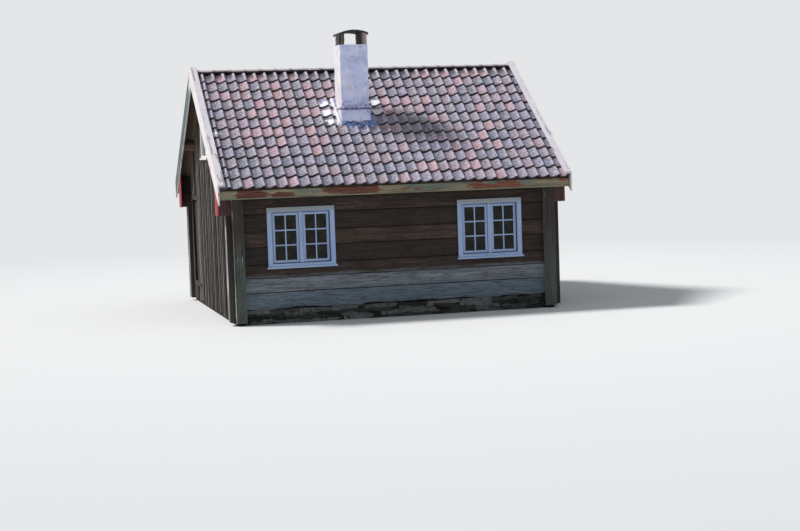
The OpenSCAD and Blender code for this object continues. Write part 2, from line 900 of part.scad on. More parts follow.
// A strap hinge of forged iron, wide at its knuckle and narrow at its tip
module strap_hinge() {
    rotate([90, 0, 0]) linear_extrude(strap_t) polygon([
        [0, -strap_w / 2], [strap_l, -strap_tip], [strap_l + strap_tip, 0], [strap_l, strap_tip],
        [0, strap_w / 2]
    ]);
    translate([0, -knuckle_d / 2, -knuckle_h / 2]) cylinder(d = knuckle_d, h = knuckle_h);
}

// A latch ring that hangs from a stud on a round plate
module ring_latch() {
    rotate([90, 0, 0]) {
        cylinder(d = ring_plate_d, h = strap_t);
        cylinder(d = ring_t * 1.5, h = stud_l);
        translate([0, -ring_r, strap_t + ring_t / 2 + fit])
            rotate_extrude() translate([ring_r, 0]) circle(d = ring_t);
    }
}

module door_leaf() {
    at_door() translate([0, 0, lining_t]) {
        color(old_wood_color) translate([-leaf_w / 2, fit, 0]) cube([leaf_w, door_t, leaf_h]);
        color(iron_color) translate([-leaf_w / 2 + knuckle_d / 2, 0, strap_in]) strap_hinge();
        color(iron_color) translate([-leaf_w / 2 + knuckle_d / 2, 0, leaf_h - strap_in]) strap_hinge();
        color(iron_color) translate([leaf_w / 2 - latch_in, 0, latch_z]) ring_latch();
    }
}

foundation_front();
foundation_back();
foundation_left();
foundation_right();
front_wall();
back_wall();
left_gable_wall();
right_gable_wall();
floor_joists();
floor_boards();
loft_beams();
loft_boards();
ridge_purlin();
side_purlins();
front_roof_boards();
back_roof_boards();
tile_battens();
front_tiles();
back_tiles();
ridge_tiles();
left_bargeboards();
right_bargeboards();
left_cap_boards();
right_cap_boards();
eave_fascias();
plate_end_boards();
left_gable_cladding();
right_gable_cladding();
front_corner_cases();
back_corner_cases();
chimney_base();
chimney_stack();
chimney_foot();
chimney_cap();
front_window_casings();
front_window_sashes();
front_window_glass();
back_window_casings();
back_window_sashes();
back_window_glass();
attic_window_casings();
attic_window_sashes();
attic_window_glass();
door_casing();
door_leaf();
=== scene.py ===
# A small log cottage with a pantile roof, finished piece by piece in the order it is built.
import math
import random
from functools import partial

import bmesh
import bpy
from mathutils import Matrix, Vector, noise


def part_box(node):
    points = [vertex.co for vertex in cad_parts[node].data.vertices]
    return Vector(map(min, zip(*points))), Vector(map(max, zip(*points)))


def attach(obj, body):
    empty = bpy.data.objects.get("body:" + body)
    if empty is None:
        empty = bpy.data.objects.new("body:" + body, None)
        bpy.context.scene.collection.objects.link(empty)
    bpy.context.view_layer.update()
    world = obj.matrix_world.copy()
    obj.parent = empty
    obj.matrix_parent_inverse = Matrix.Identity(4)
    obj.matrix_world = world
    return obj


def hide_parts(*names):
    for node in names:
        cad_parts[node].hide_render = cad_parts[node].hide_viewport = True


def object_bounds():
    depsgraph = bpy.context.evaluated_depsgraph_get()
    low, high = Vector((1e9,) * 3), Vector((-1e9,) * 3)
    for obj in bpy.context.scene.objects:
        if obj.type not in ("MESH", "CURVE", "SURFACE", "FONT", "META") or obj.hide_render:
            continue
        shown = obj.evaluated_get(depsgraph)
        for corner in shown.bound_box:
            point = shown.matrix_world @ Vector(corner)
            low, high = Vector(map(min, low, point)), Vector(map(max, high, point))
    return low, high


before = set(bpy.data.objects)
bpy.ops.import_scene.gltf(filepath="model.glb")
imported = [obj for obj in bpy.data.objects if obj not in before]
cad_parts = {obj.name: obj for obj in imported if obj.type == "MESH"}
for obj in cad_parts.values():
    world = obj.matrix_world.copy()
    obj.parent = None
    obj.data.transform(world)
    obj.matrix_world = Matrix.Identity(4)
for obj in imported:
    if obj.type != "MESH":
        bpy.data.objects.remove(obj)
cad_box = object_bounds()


# Dry stone foundation
# Flat slabs of split field stone, laid in courses without mortar against a core of rubble.
# They stick out unevenly under the sill logs, with dark gaps between them.
half_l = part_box("foundation_front")[1].x
half_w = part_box("foundation_back")[1].y
sill_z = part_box("foundation_front")[1].z


def linear(colour):
    """An sRGB hex colour as linear red, green, blue and alpha."""
    parts = [int(colour[i:i + 2], 16) / 255 for i in (1, 3, 5)]
    return (*(c / 12.92 if c <= 0.04045 else ((c + 0.055) / 1.055) ** 2.4 for c in parts), 1.0)


def feed(node, key, value):
    """Gives a node's input, by its name or place, a value, a hex colour, a node's output or a sum."""
    tree = node.id_data
    if isinstance(value, tuple) and isinstance(value[0], str):
        value = add_node(tree, value)
    if isinstance(value, bpy.types.Node):
        value = next(output for output in value.outputs if output.enabled)
    open_inputs = [socket for socket in node.inputs if socket.enabled]
    socket = open_inputs[key] if isinstance(key, int) else next(s for s in open_inputs if s.name == key)
    if isinstance(value, bpy.types.NodeSocket):
        tree.links.new(value, socket)
    else:
        socket.default_value = linear(value) if isinstance(value, str) and value[0] == "#" else value


def add_node(tree, kind, inputs=(), stops=(), **settings):
    """Adds a node: kind is its type, or a sum such as ("ADD", 1, node), settings are its properties.

    Inputs go by name or in their order. Stops are the places and hex colours of a ramp.
    """
    if isinstance(kind, tuple):
        kind, inputs, settings = "Math", kind[1:], {"operation": kind[0]}
    families = ("GeometryNode", "FunctionNode", "ShaderNode")[0 if tree.type == "GEOMETRY" else 2:]
    node = tree.nodes.new(next(family + kind for family in families if hasattr(bpy.types, family + kind)))
    for name, value in settings.items():
        setattr(node, name, value)
    for key, value in inputs.items() if isinstance(inputs, dict) else enumerate(inputs):
        feed(node, key, value)
    for i, (position, colour) in enumerate(stops):
        marks = node.color_ramp.elements
        mark = marks[i] if i < 2 else marks.new(position)
        mark.position, mark.color = position, linear(colour)
    return node


def cover(add, under, over, value, span, share=(0.0, 1.0)):
    """Lays a colour over another as far as a value says, from share's first to its last over the span."""
    value = add("MapRange", (value, *span, *share))
    return add("Mix", (value, under, over), data_type="RGBA")


def empty_tree(owner):
    """Clears the node tree of a material or the world, and gives add_node bound to it."""
    owner.use_nodes = True
    owner.node_tree.nodes.clear()
    return partial(add_node, owner.node_tree)


def new_material(name, roughness):
    """A material, the function that adds its nodes, its Object coordinates and its surface shader."""
    material = bpy.data.materials.new(name)
    add = empty_tree(material)
    surface = add("BsdfPrincipled", {"Roughness": roughness})
    add("OutputMaterial", {"Surface": surface})
    return material, add, add("TexCoord").outputs["Object"], surface


def dress_surface(add, surface, colour, height, strength, depth):
    """Gives a surface its colour, and bumps as deep as depth in metres."""
    feed(surface, "Base Color", colour)
    feed(surface, "Normal", add("Bump", {"Height": height, "Strength": strength, "Distance": depth}))


def place_object(name, data):
    """Puts an object in the scene."""
    placed = bpy.data.objects.new(name, data)
    bpy.context.scene.collection.objects.link(placed)
    return placed


def mesh_of(name, bm):
    """Turns a bmesh into a mesh as it is."""
    mesh = bpy.data.meshes.new(name)
    bm.to_mesh(mesh)
    bm.free()
    return mesh


def evaluated_mesh(shape):
    """The plain mesh that an object's modifiers make of it."""
    depsgraph = bpy.context.evaluated_depsgraph_get()
    return bpy.data.meshes.new_from_object(
        shape.evaluated_get(depsgraph), preserve_all_data_layers=True, depsgraph=depsgraph
    )


def new_tree(name, sockets):
    """A Geometry Nodes tree with these inputs, what adds its nodes, its inputs' sockets and its output."""
    tree = bpy.data.node_groups.new(name, "GeometryNodeTree")
    for socket_name, kind in sockets.items():
        tree.interface.new_socket(socket_name, in_out="INPUT", socket_type="NodeSocket" + kind)
    tree.interface.new_socket("Geometry", in_out="OUTPUT", socket_type="NodeSocketGeometry")
    given, result = tree.nodes.new("NodeGroupInput").outputs, tree.nodes.new("NodeGroupOutput")
    return tree, partial(add_node, tree), given, result


def instanced(add, given, places, tones=(0, 1)):
    """Puts parts as places says, gives each its own tone between the two and makes them real."""
    parts = add("InstanceOnPoints", places)
    tone = add("RandomValue", {"Min": tones[0], "Max": tones[1], "Seed": given["Seed"]})
    parts = add("StoreNamedAttribute", {"Geometry": parts, "Name": "tone", "Value": tone}, domain="INSTANCE")
    return add("RealizeInstances", (parts,))


def grown_mesh(tree, values):
    """Runs a Geometry Nodes tree with these inputs on an empty mesh and returns a plain mesh."""
    host = place_object(tree.name, bpy.data.meshes.new(tree.name))
    modifier = host.modifiers.new(tree.name, "NODES")
    modifier.node_group = tree
    for item in tree.interface.items_tree:
        if item.in_out == "INPUT":
            modifier[item.identifier] = values[item.name]
    mesh = evaluated_mesh(host)
    bpy.data.objects.remove(host)
    return mesh


def add_piece(name, mesh, replaced=(), material=None):
    """Puts a finished mesh in the scene as a piece of the house."""
    piece = place_object(name, mesh)
    if material:
        mesh.materials.clear()
        mesh.materials.append(material)
    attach(piece, "root")
    if replaced:
        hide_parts(*replaced)
    return piece


def finish_node(material, *names):
    """Gives CAD nodes a material."""
    for name in names:
        node_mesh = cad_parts[name].data
        node_mesh.materials.clear()
        node_mesh.materials.append(material)


# Split gneiss: rough and dull, in cold and warm greys, with lighter lichen and dark grain.
field_stone, add, coords, surface = new_material("split_field_stone", 0.92)
tone = add("Attribute", attribute_name="tone").outputs["Fac"]
mottle = add("TexNoise", {"Vector": coords, "Scale": 14, "Detail": 8, "Roughness": 0.65})
stone_colour = add("ValToRGB", (("MULTIPLY", ("ADD", tone, mottle), 0.5),),
    stops=[(0.25, "#090B0B"), (0.42, "#15191A"), (0.58, "#303436"), (0.78, "#666B68")])
lichen = add("TexVoronoi", {"Vector": coords, "Scale": 26})
stone_colour = cover(add, stone_colour, "#B9B8A8", lichen, (0.1, 0.18), (0.3, 0.0))
grit = add("TexNoise", {"Vector": coords, "Scale": 90, "Detail": 6, "Roughness": 0.7})
dress_surface(add, surface, stone_colour, grit, 0.8, 0.006)

# The rubble behind the slabs: earth and small stones, painted nearly black as shade so that the gaps read
# dark.
rubble, add, coords, surface = new_material("earthy_rubble_core", 0.98)
clods = add("TexNoise", {"Vector": coords, "Scale": 40, "Detail": 5, "Roughness": 0.7})
rubble_colour = add("ValToRGB", (clods,), stops=[(0.35, "#0D0B0A"), (0.65, "#231F1C")])
dress_surface(add, surface, rubble_colour, clods, 1.0, 0.02)

slab_tree, add, given, result = new_tree("slab_course", {
    "Slabs": "Int", "Length": "Float", "Height": "Float", "Depth": "Float", "Start": "Vector",
    "Turn": "Float", "Roughness": "Float", "Seed": "Int", "Stone": "Material"
})
points = add("MeshLine", {"Count": given["Slabs"], "Offset": (0, 0, 0)})
share = add("RandomValue", {"Min": 0.4, "Max": 1.6, "Seed": given["Seed"]})
row = add("AccumulateField", {0: share})
step = add(("DIVIDE", given["Length"], row.outputs["Total"]))
middle = add(("MULTIPLY", ("MULTIPLY_ADD", share, 0.5, row.outputs["Trailing"]), step))
index = add("InputIndex")
sunk = add("RandomValue", {"Min": -0.02, "Max": 0.012, "ID": index, "Seed": given["Seed"]})
place = add("CombineXYZ", (middle, sunk))
spread = add("SetPosition", {"Geometry": points, "Position": place})
slab_l = add(("MULTIPLY", ("MULTIPLY", share, step), 1.02))
vary = add("RandomValue", {"Min": 0.35, "Max": 1.0, "ID": index, "Seed": given["Seed"]})
slab_size = add("CombineXYZ", (slab_l, given["Depth"], ("MULTIPLY", vary, given["Height"])))
lean = add("RandomValue", {"Min": (-0.06, -0.14, -0.06), "Max": (0.06, 0.14, 0.06), "ID": index,
    "Seed": given["Seed"]}, data_type="FLOAT_VECTOR")
block = add("MeshCube", {"Size": (1, 1, 1)})
block = add("SubdivisionSurface", {"Mesh": block, "Level": 3, "Edge Crease": 0.55, "Vertex Crease": 0.2})
slabs = instanced(add, given, {"Points": spread, "Instance": block, "Rotation": lean, "Scale": slab_size})
lumps = add("TexNoise", {"Scale": 8.0, "Detail": 5.0, "W": given["Seed"]}, noise_dimensions="4D")
push = add("VectorMath", (lumps.outputs["Color"], (0.5, 0.5, 0.5)), operation="SUBTRACT")
push = add("VectorMath", {0: push, "Scale": given["Roughness"]}, operation="SCALE")
slabs = add("SetPosition", {"Geometry": slabs, "Offset": push})
turn = add("CombineXYZ", {"Z": given["Turn"]})
slabs = add("Transform", {"Geometry": slabs, "Translation": given["Start"], "Rotation": turn})
slabs = add("SetMaterial", {"Geometry": slabs, "Material": given["Stone"]})
feed(result, 0, slabs)

slab_courses = 4
slab_depth = 0.17
slab_proud = 0.018
slab_set_back = 0.03
slab_l = 0.5
stones = bmesh.new()
for side in range(4):
    length = 2 * (half_l if side % 2 == 0 else half_w)
    reach = half_w if side % 2 == 0 else half_l
    turn = side * math.pi / 2
    for course in range(slab_courses):
        height = sill_z / slab_courses
        start = Matrix.Rotation(turn, 3, "Z") @ Vector((
            -length / 2, -reach + slab_depth / 2 - (slab_proud if side % 2 == 0 else -slab_set_back),
            (course + 0.5) * height
        ))
        stones.from_mesh(grown_mesh(slab_tree, {
            "Slabs": round(length / slab_l), "Length": length, "Height": 1.5 * height, "Depth": slab_depth,
            "Start": start, "Turn": turn, "Roughness": 0.085, "Seed": 10 * side + course, "Stone": field_stone
        }))
for vert in stones.verts:
    vert.co.z = min(max(vert.co.z, 0.0), sill_z + 0.012)
add_piece("foundation_slabs", mesh_of("foundation_slabs", stones), material=field_stone)
finish_node(rubble, "foundation_front", "foundation_back", "foundation_left", "foundation_right",
            "chimney_base")


# Log walls
# Hewn pine logs with flat, slightly rounded faces, laid tight and notched at the corners.
# Weather has left them dark reddish brown high up and silver grey low down, and painted shade darkens them
# under the eaves.
log_t = 0.15
log_heights = [0.291 + 0.03 * share for share in (1, -0.7, -1.7, 1, -0.4, 1, 0.3, -0.5)]
log_tones = (0.42, 0.45, 0.5, 0.28, 0.62, 0.32, 0.6, 0.3)
log_joints = [sill_z + sum(log_heights[:i]) for i in range(len(log_heights) + 1)]
roof_pitch = math.radians(35)
roof_cos, roof_sin, roof_tan = math.cos(roof_pitch), math.sin(roof_pitch), math.tan(roof_pitch)
corner_proud = 0.105
verge_log_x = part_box("front_wall")[1].x
opening_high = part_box("front_window_casings")[1]


def wood_patterns(add, grain):
    """The marks of a board or log whose length runs along grain's X, in metres."""
    found = {}
    for name, scale, detail in (
        ("fibres", (14, 330, 330), 3), ("streaks", (1.1, 15, 15), 4), ("rings", (0.5, 8, 8), 1),
        ("cracks", (1.5, 55, 20), 4), ("patches", (1.6, 4.5, 4.5), 3),
    ):
        space = add("Mapping", {"Vector": grain, "Scale": scale})
        found[name] = add("TexNoise", {"Vector": space, "Scale": 1.0, "Detail": detail, "Roughness": 0.6})
    found["rings"] = add(("SINE", ("MULTIPLY", found["rings"], 110)))
    found["cracks"] = add("MapRange", (("ABSOLUTE", ("SUBTRACT", found["cracks"], 0.5)), 0.003,
        0.02, 1.0, 0.0))
    space = add("Mapping", {"Vector": grain, "Scale": (1.3, 6.5, 2.0)})
    knots = add("TexVoronoi", {"Vector": space, "Scale": 1.0})
    found["knots"] = add("MapRange", (knots, 0.06, 0.11, 1.0, 0.0))
    return found


def new_wood(name, roughness):
    """A wooden material with the places, tones and patterns that its boards or logs carry."""
    material, add, coords, surface = new_material(name, roughness)
    grain = add("Attribute", attribute_name="grain").outputs["Vector"]
    tone = add("Attribute", attribute_name="tone").outputs["Fac"]
    return material, add, coords, surface, grain, tone, wood_patterns(add, grain)


def finish_wood(add, surface, colour, patterns, depth):
    """Gives wood its colour, raises its fibres and sinks its cracks."""
    height = ("MULTIPLY_ADD", patterns["fibres"], 0.5, patterns["streaks"])
    dress_surface(add, surface, colour, ("MULTIPLY_ADD", patterns["cracks"], -1.2, height), 0.9, depth)


def wood_colour(add, tone, patterns, stops, crack_colour):
    """Colour of bare wood: tone and its patterns on a ramp, with dark knots and cracks."""
    value = tone
    for pattern, weight in (("streaks", 0.9), ("patches", 0.6), ("fibres", 0.35), ("rings", 0.05)):
        value = ("MULTIPLY_ADD", patterns[pattern], weight, value)
    value = add("MapRange", (value, 0.6, 2.1))
    colour = add("ValToRGB", (value,), stops=stops)
    return add("Mix", (("MULTIPLY", ("MAXIMUM", patterns["cracks"], patterns["knots"]), 0.75), colour,
        crack_colour), data_type="RGBA")


# Hewn pine, tarred brown by age and smoke high up, bleached silver by splashing rain low down.
hewn_pine, add, coords, surface, grain, tone, patterns = new_wood("hewn_pine_weathered", 0.82)
joint = add("Attribute", attribute_name="joint").outputs["Fac"]
brown = wood_colour(add, tone, patterns, [(0.1, "#100B09"), (0.35, "#221814"), (0.6, "#382A23"),
    (0.9, "#625045")], "#0C0807")
silver = wood_colour(add, tone, patterns, [(0.05, "#3F444A"), (0.35, "#636B73"), (0.65, "#858D95"),
    (0.95, "#B4B6B8")], "#17181B")
height = add("SeparateXYZ", (coords,)).outputs["Z"]
# Painted shade darkens the top two logs, under the eaves
brown = cover(add, brown, "#100C0B", height, (log_joints[6], log_joints[8]), (0.0, 0.6))
# The lowest log is bluer with algae
silver = cover(add, silver, "#50687A", height, (log_joints[1] - 0.04, log_joints[1] + 0.04), (0.5, 0.0))
edge = add(("MULTIPLY_ADD", patterns["patches"], 0.16, height))
log_colour = cover(add, brown, silver, edge, (log_joints[2] + 0.06, log_joints[2] + 0.14), (1.0, 0.0))
# Painted shade fills the joints in a wandering dark line
joint = add("MapRange", (("MULTIPLY_ADD", patterns["patches"], 0.7, joint), 0.85, 1.2, 0.0, 0.9))
log_colour = add("Mix", (joint, log_colour, "#0A0808"), data_type="RGBA")
finish_wood(add, surface, log_colour, patterns, 0.006)


def new_timber():
    """A bmesh for boards and logs, with layers for their grain, their tone and the painted shade in their
    joints.
    """
    bm = bmesh.new()
    bm.verts.layers.float_vector.new("grain")
    bm.verts.layers.float.new("tone")
    bm.verts.layers.float.new("joint")
    return bm


def add_rings(bm, rings, grain_rings, tone, grain_start, joints=()):
    """Skins a closed bar over rings of points, and records where each point lies in the wood."""
    grain_layer = bm.verts.layers.float_vector["grain"]
    tone_layer = bm.verts.layers.float["tone"]
    joint_layer = bm.verts.layers.float["joint"]
    made = []
    for ring, inside in zip(rings, grain_rings):
        made.append([bm.verts.new(point) for point in ring])
        for vert, (along, across, deep) in zip(made[-1], inside):
            vert[grain_layer] = (along + grain_start, across + 0.37 * grain_start, deep)
            vert[tone_layer] = tone
        for vert, joint in zip(made[-1], joints):
            vert[joint_layer] = joint
    count = len(rings[0])
    faces = [bm.faces.new(made[0]), bm.faces.new(reversed(made[-1]))]
    for near, far in zip(made, made[1:]):
        for k in range(count):
            faces.append(bm.faces.new((near[k], far[k], far[(k + 1) % count], near[(k + 1) % count])))
    bmesh.ops.recalc_face_normals(bm, faces=faces)
    return faces


def add_log(bm, x0, x1, low, high, slope, tone, seed):
    """A hewn log along X with its outer face at y = 0, between the joint heights low and high."""
    sag, arris, gap = 0.009, 0.012, 0.002
    levels = (0, 0.05, 0.2, 0.35, 0.5, 0.65, 0.8, 0.95, 1)
    steps = round((x1 - x0) / 0.11)
    rings, insides = [], []
    for i in range(steps + 1):
        x = x0 + (x1 - x0) * i / steps
        wave_low = 0.006 * noise.noise(Vector((0.9 * x, 11 * low, 3.1)))
        wave_high = 0.006 * noise.noise(Vector((0.9 * x, 11 * high, 3.1)))
        bottom = low + gap + wave_low
        if low < log_joints[0] + 0.01:
            bottom = low + 0.02 + 0.05 * noise.noise(Vector((1.4 * x, 0, 5)))
            bottom += 0.02 * noise.noise(Vector((6 * x, 0, 8)))
        ring = []
        for face in (0, 1):
            for t in levels[::1 - 2 * face]:
                top = high - gap + wave_high + (slope if face == 1 else 0)
                z = bottom + (top - bottom) * t
                inset = sag * (2 * t - 1) ** 2 + (arris if t in (0, 1) else 0)
                inset += 0.004 * noise.noise(Vector((2.3 * x, 9 * z, seed + 7 * face)))
                inset += 0.0025 * noise.noise(Vector((9 * x, 21 * z, seed + 3)))
                ring.append((x, inset if face == 0 else log_t - inset, z))
        rings.append(ring)
        insides.append([(x, z - low, 0.6 * y) for x, y, z in ring])
    joints = [1.0 if t in (0, 1) else 0.0 for t in levels * 2]
    for face in add_rings(bm, rings, insides, tone, 13.7 * seed, joints):
        face.smooth = len(face.verts) == 4


def plain_mesh(name, bm, bevel=0.0, cutters=()):
    """Turns a bmesh into a plain mesh, with its openings cut and its edges eased."""
    shape = place_object(name, mesh_of(name, bm))
    blocks = []
    for low, high in cutters:
        cube = bmesh.new()
        bmesh.ops.create_cube(cube, size=1)
        for vert in cube.verts:
            vert.co = [low[i] + (vert.co[i] + 0.5) * (high[i] - low[i]) for i in range(3)]
        blocks.append(place_object("opening", mesh_of("opening", cube)))
        cut = shape.modifiers.new("opening", "BOOLEAN")
        cut.object = blocks[-1]
    if bevel:
        ease = shape.modifiers.new("arris", "BEVEL")
        ease.width = bevel
        ease.segments = 2
        ease.limit_method = "ANGLE"
    done = evaluated_mesh(shape)
    for used in (shape, *blocks):
        bpy.data.objects.remove(used)
    return done


def finish_piece(name, bm, replaced, material, bevel=0.0, cutters=()):
    """Puts a bmesh in the scene as a piece of the house."""
    return add_piece(name, plain_mesh(name, bm, bevel, cutters), replaced, material)


window_w = 1.25
window_h = 1.11
window_z = 1.0
casing_lap = 0.075
window_x = opening_high.x - 0.025 - window_w / 2
for name, facing in (("front_wall", -1), ("back_wall", 1)):
    bm = new_timber()
    for i in range(len(log_heights)):
        end = verge_log_x if i >= len(log_heights) - 2 else half_l + corner_proud
        slope = log_t * roof_tan if i == len(log_heights) - 1 else 0
        add_log(bm, -end, end, log_joints[i], log_joints[i + 1], slope, log_tones[i], i + 40 * (facing + 1))
    for vert in bm.verts:
        vert.co.y -= half_w
    openings = [
        ((x - window_w / 2 + casing_lap, -half_w - 0.1, window_z + casing_lap),
         (x + window_w / 2 - casing_lap, -half_w + log_t + 0.1, window_z + window_h - casing_lap))
        for x in (-window_x, window_x)
    ]
    mesh = plain_mesh(name + "_logs", bm, cutters=openings)
    if facing > 0:
        mesh.transform(Matrix.Rotation(math.pi, 4, "Z"))
    add_piece(name + "_logs", mesh, (name,), hewn_pine)


# Gable walls, beams and purlins
# The same hewn pine, seen only inside and under the verges, drier and more even in colour.
inner_pine = {}
for axis, turn in (("x", 0.0), ("y", math.pi / 2)):
    inner_pine[axis], add, coords, surface = new_material("hewn_pine_dry_along_" + axis, 0.8)
    grain = add("Mapping", {"Vector": coords, "Rotation": (0, 0, turn)})
    patterns = wood_patterns(add, grain)
    colour = wood_colour(add, patterns["patches"], patterns,
        [(0.1, "#3A2B24"), (0.45, "#5D463A"), (0.8, "#7F6655"), (1.0, "#9A826E")], "#241A16")
    finish_wood(add, surface, colour, patterns, 0.004)
finish_node(inner_pine["x"], "ridge_purlin", "side_purlins")
finish_node(inner_pine["y"], "left_gable_wall", "right_gable_wall", "loft_beams")


# Floors, roof boards and battens
# Sawn pine planks about 150 mm wide, unpainted, browned by age, with open joints between them.
plank_w = 0.15
for axis, names in (("x", ("floor_boards", "loft_boards", "tile_battens")),
                    ("y", ("floor_joists", "front_roof_boards", "back_roof_boards"))):
    sawn_pine, add, coords, surface = new_material("sawn_pine_planks_along_" + axis, 0.78)
    grain = add("Mapping", {"Vector": coords, "Rotation": (0, 0, 0.0 if axis == "x" else math.pi / 2)})
    patterns = wood_patterns(add, grain)
    across = add("SeparateXYZ", (grain,)).outputs["Y"]
    plank = add(("DIVIDE", across, plank_w))
    plank_tone = add("TexWhiteNoise", {"W": ("FLOOR", plank)}, noise_dimensions="1D")
    colour = wood_colour(add, plank_tone, patterns, [(0.1, "#3A2D22"), (0.45, "#524031"), (0.8, "#6D5846"),
        (1.0, "#857059")], "#2A2019")
    colour = cover(add, colour, "#17110D", ("ABSOLUTE", ("SUBTRACT", ("FRACT", plank), 0.5)), (0.475, 0.49))
    finish_wood(add, surface, colour, patterns, 0.002)
    finish_node(sawn_pine, *names)


# Gable cladding
# Rough vertical pine boards with battens nailed over their joints, never painted.
# Sun and rain have turned them grey brown, nearly black in places.
board_t = 0.025
batten_t = 0.022
batten_w = 0.055
board_pitch = 0.205
board_gap = 0.003
roof_gap = 0.004
ridge_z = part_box("ridge_purlin")[1].z
cladding_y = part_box("left_gable_cladding")[1].y
cladding_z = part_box("left_gable_cladding")[0].z

weathered_board, add, coords, surface, grain, tone, patterns = new_wood("weathered_pine_boards", 0.86)
colour = wood_colour(add, tone, patterns, [(0.1, "#0D0A08"), (0.3, "#1E1712"), (0.5, "#332A24"),
    (0.7, "#504842"), (0.9, "#7A7471")], "#070605")
algae = add("TexNoise", {"Vector": coords, "Scale": 1.7, "Detail": 4, "Roughness": 0.6})
colour = cover(add, colour, "#3A4138", algae, (0.5, 0.72), (0.0, 0.4))
finish_wood(add, surface, colour, patterns, 0.005)


def add_board(bm, start, end, across, out, width, thick, seed, cuts=((0, 0), (0, 0)), wander=0.002,
              tones=(0, 1)):
    """A board from start to end, points on the middle of its back face.

    across runs over its width and out to its face. cuts moves the two corners of each end along it.
    """
    start, end, across, out = Vector(start), Vector(end), Vector(across), Vector(out)
    spots = random.Random(seed)
    along = (end - start).normalized()
    length = (end - start).length
    steps = max(1, round(length / 0.35))
    rings, insides = [], []
    bend = spots.uniform(0, 50)
    for i in range(steps + 1):
        t = i / steps
        shift = wander * noise.noise(Vector((2 * t * length, bend, 0)))
        lift = wander * abs(noise.noise(Vector((2 * t * length, bend, 9))))
        ring, inside = [], []
        for side, deep in ((-0.5, 0), (0.5, 0), (0.5, 1), (-0.5, 1)):
            corner = 0 if side < 0 else 1
            run = (1 - t) * cuts[0][corner] + t * (length + cuts[1][corner])
            move = shift if 0 < i < steps else 0
            ring.append(start + along * run + across * (side * width + move) + out * (deep * (thick - lift)))
            inside.append((run, side * width, deep * thick))
        rings.append(ring)
        insides.append(inside)
    return add_rings(bm, rings, insides, spots.uniform(*tones), spots.uniform(0, 90))


def board_top(y):
    """Height at which an upright board stops, just under the roof boards."""
    return ridge_z - abs(y) * roof_tan - roof_gap


def parted(y0, y1, z0, z1, holes):
    """Splits an upright board at the holes' sides, and gives the spans of each part above and below them."""
    cuts = sorted(y for hole in holes for y in hole[:2] if y0 + 0.015 < y < y1 - 0.015)
    for a, b in zip([y0] + cuts, cuts + [y1]):
        spans = [(z0, z1)]
        for hole_y0, hole_y1, hole_z0, hole_z1 in holes:
            if hole_y0 < (a + b) / 2 < hole_y1:
                spans = [(z0, hole_z0), (hole_z1, z1)]
        for low, high in spans:
            if high is None or high > low:
                yield a, b, low, high


door_low, door_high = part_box("door_casing")
attic_low, attic_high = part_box("attic_window_casings")
attic_w = 0.9
attic_shift = 0.3
attic_z = attic_low.z
attic_h = attic_high.z - attic_low.z
for name, end in (("left_gable_cladding", -1), ("right_gable_cladding", 1)):
    middle = attic_shift if end < 0 else 0.0
    holes = [(middle - attic_w / 2, middle + attic_w / 2, attic_z, attic_z + attic_h)]
    if end < 0:
        holes.append((door_low.y, door_high.y, door_low.z, door_high.z))
    bm = new_timber()
    spots = random.Random(5 + end)
    count = int((cladding_y - batten_w / 2) / board_pitch)
    edges = [-cladding_y] + [k * board_pitch for k in range(-count, count + 1)] + [cladding_y]
    strips = [(a + board_gap, b - board_gap, False) for a, b in zip(edges, edges[1:])]
    strips += [(y - batten_w / 2, y + batten_w / 2, True) for y in edges[1:-1]]
    seed = 100 * (end + 2)
    for y0, y1, is_batten in strips:
        back = board_t if is_batten else 0.0
        thick = batten_t * spots.uniform(0.7, 1.0) if is_batten else board_t
        tones = (0.6, 1.4) if spots.random() < (0.6 if is_batten else 0.22) else (-0.2, 0.65)
        foot = cladding_z + spots.uniform(0.0, 0.05)
        for a, b, low, high in parted(y0, y1, foot, None, holes):
            seed += 1
            tops = [board_top(y) for y in (a, b)] if high is None else [high, high]
            top = sum(tops) / 2
            x, y = end * (half_l + back), (a + b) / 2
            add_board(bm, (x, y, low), (x, y, top), (0, 1, 0), (end, 0, 0), b - a, thick, seed,
                      ((0, 0), (tops[0] - top, tops[1] - top)), 0.004, tones)
    finish_piece(name + "_boards", bm, (name,), weathered_board, 0.002)


# Corner cases
# Boards box in the log ends at each corner, a tall case round the gable's logs and a lower
# one round the front wall's logs. The fronts of the lower cases are the darkest, and most boards facing the
# gables the palest.
case_t = 0.022
case_out = corner_proud + case_t
long_end_z = log_joints[-3]

# Bare pine: its tone runs from red brown over blue grey to white with old paint.
case_board, add, coords, surface, grain, tone, patterns = new_wood("weathered_corner_boards", 0.84)
height = add("SeparateXYZ", (coords,)).outputs["Z"]
height = add(("MULTIPLY_ADD", patterns["patches"], -1.2, height))
high_up = add("ValToRGB", (tone,), stops=[(0.0, "#261815"), (0.4, "#3B332F"), (0.7, "#6C6765"),
    (1.0, "#C8C3BE")])
low_down = add("ValToRGB", (tone,), stops=[(0.0, "#423F3C"), (0.4, "#55615D"), (0.7, "#7D8682"),
    (1.0, "#C2C0BA")])
colour = cover(add, high_up, low_down, height, (0.1, 1.1), (1.0, 0.0))
shade = wood_colour(add, 0.5, patterns, [(0.1, "#6B6B6B"), (0.5, "#C4C4C4"), (0.8, "#FFFFFF")], "#303030")
colour = add("Mix", (0.85, colour, shade), data_type="RGBA", blend_type="MULTIPLY")
colour = cover(add, colour, "#D8D4CE", ("MULTIPLY_ADD", tone, 0.35,
    ("ADD", patterns["patches"], patterns["streaks"])), (1.4, 1.46))
finish_wood(add, surface, colour, patterns, 0.005)

